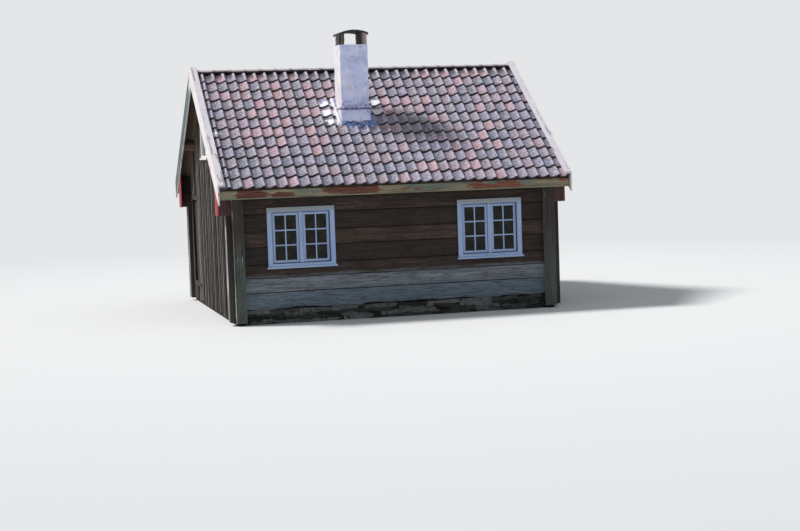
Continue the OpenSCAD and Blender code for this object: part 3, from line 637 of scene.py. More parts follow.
for name, facing in (("front_corner_cases", -1), ("back_corner_cases", 1)):
    bm = new_timber()
    for end in (-1, 1):
        def place(x, y, z):
            """A point given by its distances out past the corner."""
            return (end * (half_l + x), facing * (half_w + y), z)

        low = cladding_z
        tall = board_top(half_w + case_out)
        seed = 300 + 10 * end + 100 * facing
        width = log_t + 2 * case_t
        for k, share_in, share in ((0, 0.36, 0.72), (1, 0.86, 0.27)):
            x = case_t - share_in * width
            add_board(bm, place(x, corner_proud, low), place(x, corner_proud, tall), (1, 0, 0),
                      (0, facing, 0), share * width, case_t - 0.003 * k, seed + 6 * k, tones=(0.36, 0.46))
        y, top_out = corner_proud / 2, board_top(half_w + corner_proud)
        for k, x, out in ((1, 0, 1), (2, -log_t, -1)):
            add_board(bm, place(x, y, low - 0.01), place(x, y, top_out), (0, 1, 0), (out * end, 0, 0),
                      corner_proud, case_t, seed + k, tones=(0.6, 0.75))
        top = long_end_z - board_gap
        for k, share_in, share, tones in ((0, 0.18, 0.35, (0.05, 0.15)), (1, 0.68, 0.64, (0.75, 0.85))):
            y = case_t - share_in * width
            add_board(bm, place(corner_proud, y, low + 0.02), place(corner_proud, y, top), (0, 1, 0),
                      (end, 0, 0), share * width, case_t - 0.002 * k, seed + 3 + 5 * k, tones=tones)
        x = (case_t + corner_proud) / 2
        for k, y, out in ((4, 0, 1), (5, -log_t, -1)):
            add_board(bm, place(x, y, low + 0.01), place(x, y, top), (1, 0, 0), (0, out * facing, 0),
                      corner_proud - case_t, case_t, seed + k, tones=(0.0, 0.1))
    finish_piece(name + "_boards", bm, (name,), case_board, 0.003)


# Red end boards
# Boards close the ends of the two top logs past each gable and their sides. Only the end
# boards keep their dark red linseed paint; the side boards are bare and brown.
red_paint, add, coords, surface, grain, tone, patterns = new_wood("red_linseed_paint_on_pine", 0.7)
bare = wood_colour(add, 0.3, patterns, [(0.2, "#2A1915"), (0.9, "#66443A")], "#160D0B")
worn = add("MapRange", (("MULTIPLY_ADD", tone, -1.0,
    ("ADD", patterns["streaks"], patterns["patches"])), 0.12, 0.2))
paint = add("Mix", (patterns["patches"], "#6E1518", "#AC3B40"), data_type="RGBA")
colour = add("Mix", (worn, paint, bare), data_type="RGBA")
finish_wood(add, surface, colour, patterns, 0.002)

end_board_w = 0.34
deck_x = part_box("eave_fascias")[1].x
bm = new_timber()
for end in (-1, 1):
    for facing in (-1, 1):
        outer = half_w + case_t
        inner = outer - end_board_w
        tops = [board_top(y) for y in ((inner, outer) if facing > 0 else (outer, inner))]
        top = sum(tops) / 2
        middle = facing * (inner + outer) / 2
        seed = 400 + 7 * end + 2 * facing
        x = end * (deck_x - case_t)
        add_board(bm, (x, middle, long_end_z), (x, middle, top), (0, 1, 0), (end, 0, 0), end_board_w, case_t,
                  seed, ((0, 0), (tops[0] - top, tops[1] - top)), tones=(0.95, 1.0))
        near, far = half_l + case_t + 0.002, deck_x - case_t
        x, y = end * (near + far) / 2, facing * half_w
        add_board(bm, (x, y, long_end_z), (x, y, board_top(outer)), (1, 0, 0), (0, facing, 0),
                  far - near, case_t, seed + 1, tones=(0.1, 0.15))
finish_piece("plate_end_boards_painted", bm, ("plate_end_boards",), red_paint, 0.002)


# Pantiles
# Hand-made clay pantiles hang on the battens, a wide pan to the left and a narrow roll to the
# right that laps the next tile. They range from blue grey to pink, with soot and lichen.
run = -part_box("left_bargeboards")[0].y
eave_z = ridge_z - run * roof_tan
slope_l = run / roof_cos
batten_top = 0.058
tile_t = 0.014
tile_l = 0.40
wave = 0.024
courses = 12
cover_w = 0.205
hair_gap = 0.0003
columns = round(2 * deck_x / cover_w)
tile_pitch = 2 * (deck_x - hair_gap) / columns
first_s = 0.095
ridge_lap = 0.096
ridge_r = 0.105
gauge = (slope_l + 0.084 - first_s - ridge_lap) / courses
nose_gap = 0.006
tilt = math.atan((tile_t + nose_gap) / gauge)

# The tile's cross-section: share of the cover width, and height as a share of the wave
section = [(-0.02, -0.25), (0.04, -0.55), (0.13, -0.82), (0.25, -0.98), (0.38, -0.96), (0.5, -0.78),
           (0.6, -0.5), (0.7, -0.1), (0.79, 0.38), (0.87, 0.78), (0.94, 0.98), (1.0, 1.0), (1.045, 0.78),
           (1.07, 0.4)]
# Along the tile: distance from the nose, drop of its lip, and the painted shade it takes there
stations = [(0.0, 0.004, 1.0), (0.009, 0.0005, 0.75), (0.024, 0.0, 0.0), (gauge - 0.045, 0.0, 0.0),
            (gauge - 0.01, 0.0, 0.9), (tile_l, 0.0, 1.0)]
tile = bmesh.new()
painted_shade_layer = tile.verts.layers.float.new("dirt")
crest_layer = tile.verts.layers.float.new("crest")
layers = []
for top in (0, 1):
    sheet = []
    for y, drop, dirt in stations:
        sheet.append([])
        for u, rise in section:
            vert = tile.verts.new((u * tile_pitch, y, wave * (1 + rise) + tile_t * top - drop))
            vert[painted_shade_layer] = max(dirt, 0.75 if top == 0 or u in (section[0][0], section[-1][0]) else 0.0)
            vert[crest_layer] = (rise + 1) / 2
            sheet[-1].append(vert)
    layers.append(sheet)
rows, cols = len(stations), len(section)
for top, sheet in enumerate(layers):
    for j in range(rows - 1):
        for k in range(cols - 1):
            corners = [sheet[j][k], sheet[j][k + 1], sheet[j + 1][k + 1], sheet[j + 1][k]]
            tile.faces.new(corners if top else reversed(corners)).smooth = True
low, high = layers
for k in range(cols - 1):
    tile.faces.new((low[0][k], low[0][k + 1], high[0][k + 1], high[0][k]))
    tile.faces.new((low[-1][k + 1], low[-1][k], high[-1][k], high[-1][k + 1]))
for j in range(rows - 1):
    tile.faces.new((low[j + 1][0], low[j][0], high[j][0], high[j + 1][0]))
    tile.faces.new((low[j][-1], low[j + 1][-1], high[j + 1][-1], high[j][-1]))


def creased_mesh(name, bm, angle):
    """Turns a bmesh of curved faces into a mesh that stays sharp where they meet at over this angle."""
    bmesh.ops.recalc_face_normals(bm, faces=bm.faces)
    for edge in bm.edges:
        if len(edge.link_faces) == 2 and edge.calc_face_angle() > angle:
            edge.smooth = False
    return mesh_of(name, bm)


tile_object = place_object("pantile", creased_mesh("pantile", tile, 0.7))

pantile_tree, add, given, result = new_tree("pantile_slope", {
    "Tile": "Object", "Columns": "Int", "Courses": "Int", "Pitch": "Float", "Gauge": "Float", "Tilt": "Float",
    "Start": "Vector", "Slope": "Float", "Hole Low": "Vector", "Hole High": "Vector", "Seed": "Int",
    "Clay": "Material"
})
count = add(("MULTIPLY", given["Columns"], given["Courses"]))
points = add("MeshLine", {"Count": count, "Offset": (0, 0, 0)})
index = add("InputIndex")
column = add(("MODULO", index, given["Columns"]))
course = add(("ADD", ("DIVIDE", index, given["Columns"]), 0.0001))
place = add("CombineXYZ", (("MULTIPLY", column, given["Pitch"]),
    ("MULTIPLY", ("FLOOR", course), given["Gauge"])))
slip = add("RandomValue", {"Min": (-0.003, -0.006, -0.001), "Max": (0.003, 0.006, 0.004),
    "Seed": given["Seed"]}, data_type="FLOAT_VECTOR")
place = add("VectorMath", (place, slip), operation="ADD")
laid = add("SetPosition", {"Geometry": points, "Position": place})
spot = add("InputPosition")
above = add("VectorMath", (spot, given["Hole Low"]), operation="SUBTRACT")
below = add("VectorMath", (given["Hole High"], spot), operation="SUBTRACT")
inside = add("VectorMath", (above, below), operation="MINIMUM")
inside = add("SeparateXYZ", (inside,))
laid = add("DeleteGeometry", {"Geometry": laid,
    "Selection": ("GREATER_THAN", ("MINIMUM", inside.outputs["X"], inside.outputs["Y"]), 0.0)},
    domain="POINT")
lean = add("RandomValue", {"Min": (-0.008, -0.02, -0.012), "Max": (0.008, 0.02, 0.012),
    "Seed": given["Seed"]}, data_type="FLOAT_VECTOR")
down = add("CombineXYZ", (("MULTIPLY", given["Tilt"], -1.0),))
lean = add("VectorMath", (lean, down), operation="ADD")
shape = add("ObjectInfo", {"Object": given["Tile"]})
tiles = instanced(add, given, {"Points": laid, "Instance": shape.outputs["Geometry"], "Rotation": lean})
pitch = add("CombineXYZ", (given["Slope"],))
tiles = add("Transform", {"Geometry": tiles, "Translation": given["Start"], "Rotation": pitch})
tiles = add("SetMaterial", {"Geometry": tiles, "Material": given["Clay"]})
feed(result, 0, tiles)

foot_low, foot_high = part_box("chimney_foot")
stack_low, stack_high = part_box("chimney_stack")

# Old unglazed clay: dull and sandy, each tile its own colour, with soot, lichen and limewash
# that has run down beside the chimney. The noses and the laps are painted black as shade.
clay, add, coords, surface = new_material("weathered_clay_pantile", 0.88)
tone, dirt, crest = [add("Attribute", attribute_name=name).outputs["Fac"]
                     for name in ("tone", "dirt", "crest")]
drift = add("TexNoise", {"Vector": coords, "Scale": 0.8, "Detail": 2})
value = add(("MULTIPLY_ADD", drift, 0.9, tone))
# More of the pink tiles lie to the left of the chimney, half way up
pink = add("VectorMath", (coords, (-1.45, -1.2, 3.86)), operation="SUBTRACT")
pink = add("VectorMath", (pink,), operation="LENGTH")
pink = add("MapRange", (pink, 0.3, 1.1, -0.22, -0.54))
clay_colour = add("ValToRGB", (("ADD", value, pink),),
    stops=[(0.0, "#616776"), (0.12, "#7F7F97"), (0.24, "#6A6D79"), (0.36, "#888095"), (0.48, "#726F79"),
    (0.6, "#908192"), (0.72, "#82767D"), (0.84, "#AB8A95"), (0.94, "#AC868F"), (1.0, "#A98388")])
mottle = add("TexNoise", {"Vector": coords, "Scale": 20, "Detail": 6, "Roughness": 0.72})
clay_colour = cover(add, clay_colour, "#47434A", mottle, (0.47, 0.66), (0.0, 0.6))
# The rolls are paler than the pans, partly rinsed clean and partly a painted highlight
clay_colour = cover(add, clay_colour, "#C3BACB", crest, (0.45, 1.0), (0.0, 0.3))
# Lichen spots are 5 to 10 mm across; drawn at 15 to 20 mm so that they show
speckle = add("TexNoise", {"Vector": coords, "Scale": 52, "Detail": 4, "Roughness": 0.65})
clay_colour = cover(add, clay_colour, "#D0C9DC", ("MULTIPLY_ADD", crest, 0.05, speckle), (0.55, 0.63),
    (0.0, 0.85))
clay_colour = cover(add, clay_colour, "#3A363B", speckle, (0.38, 0.45), (0.75, 0.0))
# The crowns of the ridge tiles, which have more than a full crest, are painted a dull buff, partly rinsed
# clay and partly a painted highlight
clay_colour = cover(add, clay_colour, "#8F7E72", crest, (1.05, 1.4), (0.0, 0.8))
# Place up the slope, and the share of a course over the nearest nose below
place = add("SeparateXYZ", (coords,)).outputs
up_slope = add(("MULTIPLY_ADD", place["Z"], roof_sin, ("MULTIPLY", ("ABSOLUTE", place["Y"]), -roof_cos)))
nose_s = first_s - run * roof_cos + eave_z * roof_sin
over_nose = add(("FRACT", ("DIVIDE", ("SUBTRACT", up_slope, nose_s), gauge)))
# Painted shade darkens the pans just below the ridge tiles, and mortar lightens the rolls
top_s = nose_s + slope_l - first_s - ridge_r / roof_cos
topmost = add("MapRange", (up_slope, top_s - 0.12, top_s))
roll = add("MapRange", (crest, 0.6, 0.9))
for share, hue in ((-0.72, "#1C1A1F"), (0.38, "#C4C3CB")):
    clay_colour = add("Mix", (("MULTIPLY", ("MULTIPLY", ("SUBTRACT", roll, 1.0 if share < 0 else 0.0),
        share), topmost), clay_colour, hue), data_type="RGBA")
# Limewash was splashed beside the chimney's foot; it has lasted over the laps, as ragged crescents
ragged = add("TexNoise", {"Vector": coords, "Scale": 8, "Detail": 5, "Roughness": 0.65})
bowed = add("MapRange", (("MULTIPLY_ADD", crest, 0.22, over_nose), 0.66, 0.86, 0.0, 0.9))
ragged = add(("MULTIPLY_ADD", ragged, -2.2, bowed))
splashed = None
for centre, size in (((-0.86, -1.28, 3.85), (0.2, 0.46, 0.6)), ((0.05, -1.08, 3.98), (0.2, 0.26, 0.34)),
                     ((0.1, -1.27, 3.84), (0.16, 0.1, 0.25)), ((-3.12, -1.77, 3.50), (0.09, 0.1, 0.12))):
    near = add("VectorMath", (coords, centre), operation="SUBTRACT")
    near = add("VectorMath", (near, size), operation="DIVIDE")
    near = add("VectorMath", (near,), operation="LENGTH")
    near = add("MapRange", (("ADD", ragged, near), -0.35, -0.2, 1.0, 0.0))
    splashed = near if not splashed else add(("MAXIMUM", splashed, near))
clay_colour = add("Mix", (splashed, clay_colour, "#DAD9E4"), data_type="RGBA")
# Painted shade blackens the noses and laps, and the undersides and sides of the tiles
clay_colour = cover(add, clay_colour, "#19161B", dirt, (0.1, 0.75), (0.0, 0.93))
sand = add("TexNoise", {"Vector": coords, "Scale": 160, "Detail": 5, "Roughness": 0.7})
dress_surface(add, surface, clay_colour, ("MULTIPLY_ADD", mottle, 2.0, sand), 0.8, 0.004)

n_nose = batten_top + (tile_t + nose_gap) * tile_l / gauge
# Tiles that would lie wholly inside the chimney are left out; s is a length up the slope
lap = tile_l - gauge
foot_s = [(run + y) / roof_cos + n_nose * roof_tan - first_s for y in (foot_low.y, foot_high.y)]
hole_low = Vector((foot_low.x + deck_x - 0.02, foot_s[0] - 0.02, -1))
hole_high = Vector((foot_high.x + deck_x - tile_pitch + 0.02, foot_s[1] - tile_l + lap, 1))
for name, turned in (("front_tiles", False), ("back_tiles", True)):
    start = Vector((
        -deck_x + hair_gap,
        -run + first_s * roof_cos - n_nose * roof_sin,
        eave_z + first_s * roof_sin + n_nose * roof_cos
    ))
    mesh = grown_mesh(pantile_tree, {
        "Tile": tile_object, "Columns": columns, "Courses": courses, "Pitch": tile_pitch, "Gauge": gauge,
        "Tilt": tilt, "Start": start, "Slope": roof_pitch,
        "Hole Low": hole_low if not turned else Vector((9, 9, 9)),
        "Hole High": hole_high if not turned else Vector((9, 9, 9)),
        "Seed": 3 if turned else 8, "Clay": clay
    })
    for vert in mesh.vertices:
        vert.co.x = min(max(vert.co.x, -deck_x), deck_x)
        vert.co.y = max(vert.co.y, -run)
    if turned:
        mesh.transform(Matrix.Rotation(math.pi, 4, "Z"))
    add_piece(name + "_laid", mesh, (name,), clay)
bpy.data.objects.remove(tile_object)


# Ridge tiles
# Half-round clay tiles in a row along the ridge, each with a collar over the end of the next.
ridge_squat = 0.76
ridge_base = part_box("ridge_tiles")[0].z
ridge_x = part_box("ridge_tiles")[1].x
ridge_cover = 0.31
ridge_count = round(2 * ridge_x / ridge_cover)
ridge_l = 2 * ridge_x / ridge_count
bm = bmesh.new()
arc = 16
# Along the tile, from its collar: distance, and how far its radius grows
profile = [(0.0, 0.0), (0.06, 0.0), (0.07, -0.013), (ridge_l + 0.03, -0.015)]
painted_shade_layer = bm.verts.layers.float.new("dirt")
crest_layer = bm.verts.layers.float.new("crest")
skins = []
for inner in (0.0, tile_t):
    skins.append([])
    for x, grow in profile:
        skins[-1].append([])
        for k in range(arc + 1):
            up = math.sin(math.pi * k / arc)
            radius = ridge_r + grow - inner
            vert = bm.verts.new((x, radius * math.cos(math.pi * k / arc), ridge_squat * radius * up))
            # The crown is painted pale as a highlight, and the sides dark as shade
            vert[painted_shade_layer] = 0.78 * min(1.0, max(0.0, 5.0 * (0.62 - up)))
            vert[crest_layer] = 4.0 * max(0.0, up - 0.3)
            skins[-1][-1].append(vert)
for inner, skin in enumerate(skins):
    for j in range(len(profile) - 1):
        for k in range(arc):
            bm.faces.new((skin[j][k], skin[j][k + 1], skin[j + 1][k + 1], skin[j + 1][k])).smooth = True
for k in range(arc):
    bm.faces.new((skins[0][0][k], skins[0][0][k + 1], skins[1][0][k + 1], skins[1][0][k]))
    bm.faces.new((skins[0][-1][k], skins[0][-1][k + 1], skins[1][-1][k + 1], skins[1][-1][k]))
for j in range(len(profile) - 1):
    for k in (0, arc):
        bm.faces.new((skins[0][j][k], skins[0][j + 1][k], skins[1][j + 1][k], skins[1][j][k]))
ridge_object = place_object("ridge_tile", creased_mesh("ridge_tile", bm, 0.6))

ridge_tree, add, given, result = new_tree("ridge_row", {
    "Tile": "Object", "Count": "Int", "Spacing": "Float", "Start": "Vector", "Seed": "Int", "Clay": "Material"
})
offset = add("CombineXYZ", (given["Spacing"],))
points = add("MeshLine", {"Count": given["Count"], "Start Location": given["Start"], "Offset": offset})
lean = add("RandomValue", {"Min": (-0.05, -0.018, -0.015), "Max": (0.05, 0.006, 0.015),
    "Seed": given["Seed"]}, data_type="FLOAT_VECTOR")
shape = add("ObjectInfo", {"Object": given["Tile"]})
tiles = instanced(add, given, {"Points": points, "Instance": shape.outputs["Geometry"],
    "Rotation": lean}, (0.55, 0.95))
tiles = add("SetMaterial", {"Geometry": tiles, "Material": given["Clay"]})
feed(result, 0, tiles)
mesh = grown_mesh(ridge_tree, {
    "Tile": ridge_object, "Count": ridge_count, "Spacing": ridge_l,
    "Start": Vector((-ridge_x, 0, ridge_base)), "Seed": 4, "Clay": clay
})
add_piece("ridge_tiles_laid", mesh, ("ridge_tiles",), clay)
bpy.data.objects.remove(ridge_object)


# Bargeboards and cap boards
# Planed pine boards painted white. The bargeboards close the verges on edge, and the cap
# boards lie beside their top edges over the edge tiles. Their paint is chalky and flaking.
trim_t = 0.028
cap_n = batten_top + hair_gap + 2 * wave + tile_t + 0.03
verge_n = cap_n + trim_t
bargeboard_w = 0.30
barge_x = cad_box[1].x
cap_w = 0.105

# Chalky linseed paint: cream on the bargeboards, cooler on the caps, where rain has lifted it
# in grey patches along the joint. The faces of the back slope's boards are painted grey green as shade.
white_paint, add, coords, surface, grain, tone, patterns = new_wood("chalky_white_paint_on_pine", 0.6)
place = add("SeparateXYZ", (coords,)).outputs
bare = wood_colour(add, 0.4, patterns, [(0.2, "#6F6E7A"), (0.9, "#A8A6B2")], "#4A4850")
cream = add("Mix", (patterns["patches"], "#CAC3C1", "#DED8D6"), data_type="RGBA")
cool = add("Mix", (patterns["patches"], "#ABA8BC", "#E2E0E9"), data_type="RGBA")
paint = add("Mix", (tone, cream, cool), data_type="RGBA")
near_joint = add("MapRange", (("ABSOLUTE", place["X"]), barge_x - trim_t - 0.06, barge_x - trim_t, 0.0, 0.2))
colour = cover(add, paint, bare, ("ADD", ("MULTIPLY_ADD", patterns["cracks"], 0.1,
    ("ADD", patterns["streaks"], patterns["patches"])), ("MULTIPLY", near_joint, tone)), (1.17, 1.27))
# Height over the roof slope, to keep the painted shade off the lower edges of the boards
over = add(("MULTIPLY_ADD", ("SUBTRACT", place["Z"], ridge_z), roof_cos, ("MULTIPLY", place["Y"], roof_sin)))
face = add(("GREATER_THAN", over, verge_n - bargeboard_w + 0.003))
green_shade = add("MapRange", (("MULTIPLY_ADD", patterns["patches"], 0.5, place["Y"]), 0.28, 0.6))
green_shade = add(("MULTIPLY", green_shade, face))
# White paint shows through the painted shade in broken dashes along the middle of the boards
dashes = add(("SUBTRACT", over, verge_n - 0.45 * bargeboard_w))
dashes = add("MapRange", (("MULTIPLY_ADD", patterns["streaks"], -0.09, ("ABSOLUTE", dashes)), -0.046, -0.036))
colour = add("Mix", (("MULTIPLY", green_shade, dashes), colour, "#32454A"), data_type="RGBA")
finish_wood(add, surface, colour, patterns, 0.0015)


def plumb_s(n, y):
    """Length up the slope, at height n over it, to the plumb plane at the distance y from the ridge."""
    return (run - y + n * roof_sin) / roof_cos


def slope_place(s, n, back):
    """Y and Z of a point s up the front slope, or the back one, and n over it."""
    y = -run + s * roof_cos - n * roof_sin
    return (-y if back else y, eave_z + s * roof_sin + n * roof_cos)


cap_boards = 4
for name, end in (("left", -1), ("right", 1)):
    barges, caps = new_timber(), new_timber()
    for back in (0, 1):
        seed = 500 + 20 * end + 5 * back
        square_to = Vector((0, (1 if back else -1) * roof_sin, roof_cos))
        low_n, high_n = verge_n - bargeboard_w, verge_n
        x = end * (barge_x - trim_t)
        mid_n = (low_n + high_n) / 2
        s0, s1 = plumb_s(mid_n, run), plumb_s(mid_n, 0.001)
        slant = (high_n - low_n) / 2 * roof_tan
        foot, head = [(x, *slope_place(s, mid_n, back)) for s in (s0, s1)]
        add_board(barges, foot, head, square_to, (end, 0, 0), high_n - low_n, trim_t, seed,
                  ((-slant, slant), (-slant, slant)), 0.0, (0.0, 0.15))
        # The caps' plumb ends slant through their thickness, so their boards run on their edges
        mid_n = cap_n + trim_t / 2
        slant = trim_t / 2 * roof_tan
        x = end * (barge_x - trim_t - 0.001)
        ends = [plumb_s(mid_n, run - k * (run - 0.001) / cap_boards) for k in range(cap_boards + 1)]
        ends = [(x, *slope_place(s, mid_n, back)) for s in ends]
        for k in range(cap_boards):
            low_cut = (-slant, slant) if k == 0 else (0.001, 0.001)
            high_cut = (-slant, slant) if k == cap_boards - 1 else (-0.001, -0.001)
            add_board(caps, ends[k], ends[k + 1], square_to, (-end, 0, 0), trim_t, cap_w, seed + 1 + k,
                      (low_cut, high_cut), 0.002, (0.75, 1.0))
    for part, bm in (("_bargeboards", barges), ("_cap_boards", caps)):
        finish_piece(name + part + "_painted", bm, (name + part,), white_paint, 0.002)


# Fascias
# A board along each eave under the tile ends. Its old grey-green paint has let go in long
# patches, down to red-brown wood, and a thin pale bead runs along its lower edge.
peeling_paint, add, coords, surface, grain, tone, patterns = new_wood("peeling_green_grey_paint", 0.7)
bare = wood_colour(add, tone, patterns, [(0.2, "#5E3325"), (0.9, "#8E5540")], "#2B1811")
space = add("Mapping", {"Vector": grain, "Scale": (1.2, 6.5, 6.5), "Location": (4.3, 0, 0)})
flakes = add("TexNoise", {"Vector": space, "Scale": 1.0, "Detail": 6, "Roughness": 0.6})
# The paint is poorest in four places along the board
along = add("SeparateXYZ", (coords,)).outputs["X"]
poorest = None
for middle, reach in ((-2.78, 0.25), (-2.1, 0.2), (-0.95, 0.5), (1.9, 0.5)):
    near = add("MapRange", (("ABSOLUTE", ("SUBTRACT", along, middle)), 0.6 * reach, 1.3 * reach, 0.1, -0.05))
    poorest = near if not poorest else add(("MAXIMUM", poorest, near))
worn = add("MapRange", (("ADD", flakes, poorest), 0.52, 0.55))
worn = add(("MULTIPLY", worn, ("LESS_THAN", tone, 1.5)))
paint = add("ValToRGB", (patterns["patches"],),
    stops=[(0.3, "#55625E"), (0.45, "#737868"), (0.6, "#8E8569"), (0.75, "#838678")])
paint = cover(add, paint, "#4A3F33", patterns["streaks"], (0.5, 0.75), (0.0, 0.6))
colour = add("Mix", (worn, paint, bare), data_type="RGBA")
finish_wood(add, surface, colour, patterns, 0.003)

fascia_low, fascia_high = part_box("eave_fascias")
bm = new_timber()
bead_h = 0.022
joint_x = -0.4
for facing in (-1, 1):
    y = facing * (fascia_high.y - trim_t)
    middle = (fascia_low.z + bead_h + fascia_high.z) / 2
    for k, (x0, x1) in enumerate(((-deck_x, joint_x), (joint_x, deck_x))):
        add_board(bm, (x0, y, middle), (x1 - 0.001, y, middle), (0, 0, 1), (0, facing, 0),
                  fascia_high.z - fascia_low.z - bead_h, trim_t - 0.004, 600 + 10 * facing + k, wander=0.003)
    add_board(bm, (-deck_x, y, fascia_low.z + bead_h / 2), (deck_x, y, fascia_low.z + bead_h / 2), (0, 0, 1),
              (0, facing, 0), bead_h, trim_t, 640 + facing, wander=0.0, tones=(1.6, 1.7))
finish_piece("eave_fascias_painted", bm, ("eave_fascias",), peeling_paint, 0.002)


# Chimney
# Rubble masonry, rendered and limewashed many times, with a projecting drip course over the
# foot. Two short walls carry an arched slab of slate over the flue, black with soot below.
limewash, add, coords, surface = new_material("limewash_on_rough_render", 0.9)
cloud = add("TexNoise", {"Vector": coords, "Scale": 4.0, "Detail": 6, "Roughness": 0.65})
# The lavender blue of the wash is painted shade
wash = add("ValToRGB", (cloud,), stops=[(0.3, "#AFB5DC"), (0.45, "#C8CFF4"), (0.56, "#D5DBF8"),
    (0.7, "#E6E8F8")])
worn = add("TexNoise", {"Vector": coords, "Scale": 9.0, "Detail": 8, "Roughness": 0.7})
colour = cover(add, wash, "#8D8794", worn, (0.57, 0.66), (0.0, 0.6))
stain = add("TexNoise", {"Vector": coords, "Scale": 3.1, "Detail": 4, "W": 2.7}, noise_dimensions="4D")
colour = cover(add, colour, "#B89C8C", stain, (0.58, 0.72), (0.0, 0.55))
# The wash is bluer and darker in speckles about the top of the drip course, and a painted shadow lies in a
# line below it
height = add("SeparateXYZ", (coords,)).outputs["Z"]
speckle = add("TexNoise", {"Vector": coords, "Scale": 22, "Detail": 5, "Roughness": 0.7})
drip_h = 0.035
for base, share, low, high, most, hue in (
    (foot_high.z, -0.9, -0.5, -0.35, 0.7, "#7078B0"),
    (foot_high.z - drip_h - 0.012, -0.06, -0.02, -0.005, 0.85, "#33364E"),
):
    colour = cover(add, colour, hue, ("MULTIPLY_ADD", speckle, share,
        ("ABSOLUTE", ("SUBTRACT", height, base))), (low, high), (most, 0.0))
# The front keeps the lavender blue of painted shade, and the other faces are painted cream as sunlit
normal = add("NewGeometry").outputs["Normal"]
facing = add("SeparateXYZ", (normal,)).outputs["Y"]
facing = add("MapRange", (facing, -0.8, -0.5, 0.0, 0.7))
colour = add("Mix", (facing, colour, "#DCD4D0"), data_type="RGBA")
grit = add("TexNoise", {"Vector": coords, "Scale": 35, "Detail": 6, "Roughness": 0.7})
dress_surface(add, surface, colour, grit, 0.8, 0.008)

foot_mid = (foot_low + foot_high) / 2
stack_mid = (stack_low + stack_high) / 2
stack_half = (stack_high.x - stack_low.x) / 2
cap_wall_t = 0.105
cap_wall_h = 0.185

# The cap's walls: limewash left on the outer faces, smoke and soot towards the flue.
smoked, add, coords, surface = new_material("smoked_limewash", 0.9)
cloud = add("TexNoise", {"Vector": coords, "Scale": 16, "Detail": 6, "Roughness": 0.7})
out = add("SeparateXYZ", (coords,)).outputs["X"]
out = add(("SUBTRACT", out, stack_mid.x))
right_side = add(("GREATER_THAN", out, 0.0))
out = add(("MULTIPLY_ADD", cloud, 0.06, ("ABSOLUTE", out)))
inner = stack_half - cap_wall_t
blend = add("MapRange", (out, inner + 0.01, stack_half + 0.03))
left_wall = add("ValToRGB", (blend,), stops=[(0.05, "#171615"), (0.2, "#3E3F37"), (0.6, "#5C5D50"),
    (0.85, "#2E2622")])
right_wall = add("ValToRGB", (blend,), stops=[(0.05, "#171615"), (0.2, "#6E6560"),
    (0.7, "#A39893"), (0.95, "#C9C2C2")])
# Limewash is left on the rear half of the left wall, away from the smoke
rear = add("SeparateXYZ", (coords,)).outputs["Y"]
left_colour = cover(add, left_wall, "#DEDCE2", ("MULTIPLY_ADD", cloud, 0.2, rear),
    (stack_mid.y + 0.1, stack_mid.y + 0.28))
colour = add("Mix", (right_side, left_colour, right_wall), data_type="RGBA")
dress_surface(add, surface, colour, cloud, 0.8, 0.01)

# Slate: dark and slightly sheeny, mottled with paler patches.
slate, add, coords, surface = new_material("sooty_slate", 0.7)
cloud = add("TexNoise", {"Vector": coords, "Scale": 13, "Detail": 7, "Roughness": 0.7})
colour = add("ValToRGB", (cloud,), stops=[(0.3, "#07080A"), (0.5, "#101315"), (0.66, "#24282B"),
    (0.8, "#6E7172")])
dress_surface(add, surface, colour, cloud, 0.8, 0.01)


# Noise vectors differ from run to run unless their seed is set
noise.seed_set(3)


def rough_block(bm, low, high, corner, lump, cell=0.04, seed=0):
    """A closed block of masonry with worn corners and lumpy faces."""
    size = [high[i] - low[i] for i in range(3)]
    counts = [max(2, round(s / cell)) for s in size]
    cube = bmesh.new()
    verts = {}

    def vert_at(cell_index):
        if cell_index not in verts:
            p = [low[i] + size[i] * cell_index[i] / counts[i] for i in range(3)]
            near = [min(p[i] - low[i], high[i] - p[i]) for i in range(2)]
            centre = Vector(((low[0] + high[0]) / 2, (low[1] + high[1]) / 2, p[2]))
            point = Vector(p)
            if max(near) < 0.3 * cell:
                chip = corner * (0.3 + max(0.0, 1.6 * noise.noise(point * 19.0 + Vector((seed, 7, 0)))))
                point += (centre - point).normalized() * chip
            swell = noise.noise_vector(point * 6.0 + Vector((seed, 0, 0))) * lump
            swell += noise.noise_vector(point * 17.0 + Vector((seed, 3, 0))) * lump * 0.5
            verts[cell_index] = cube.verts.new(point + swell - Vector((0, 0, swell.z)))
        return verts[cell_index]

    for axis in range(3):
        u, v = [i for i in range(3) if i != axis]
        for side in (0, counts[axis]):
            for a in range(counts[u]):
                for b in range(counts[v]):
                    corners = []
                    for du, dv in ((0, 0), (1, 0), (1, 1), (0, 1)):
                        cell_index = [0, 0, 0]
                        cell_index[axis], cell_index[u], cell_index[v] = side, a + du, b + dv
                        corners.append(vert_at(tuple(cell_index)))
                    cube.faces.new(corners).smooth = True
    mesh = creased_mesh("block", cube, 0.7)
    bm.from_mesh(mesh)
    bpy.data.meshes.remove(mesh)


def square_block(bm, middle, half, z0, z1, corner, lump, seed):
    """A rough block on a square plan."""
    low, high = (middle.x - half, middle.y - half, z0), (middle.x + half, middle.y + half, z1)
    rough_block(bm, low, high, corner, lump, seed=seed)


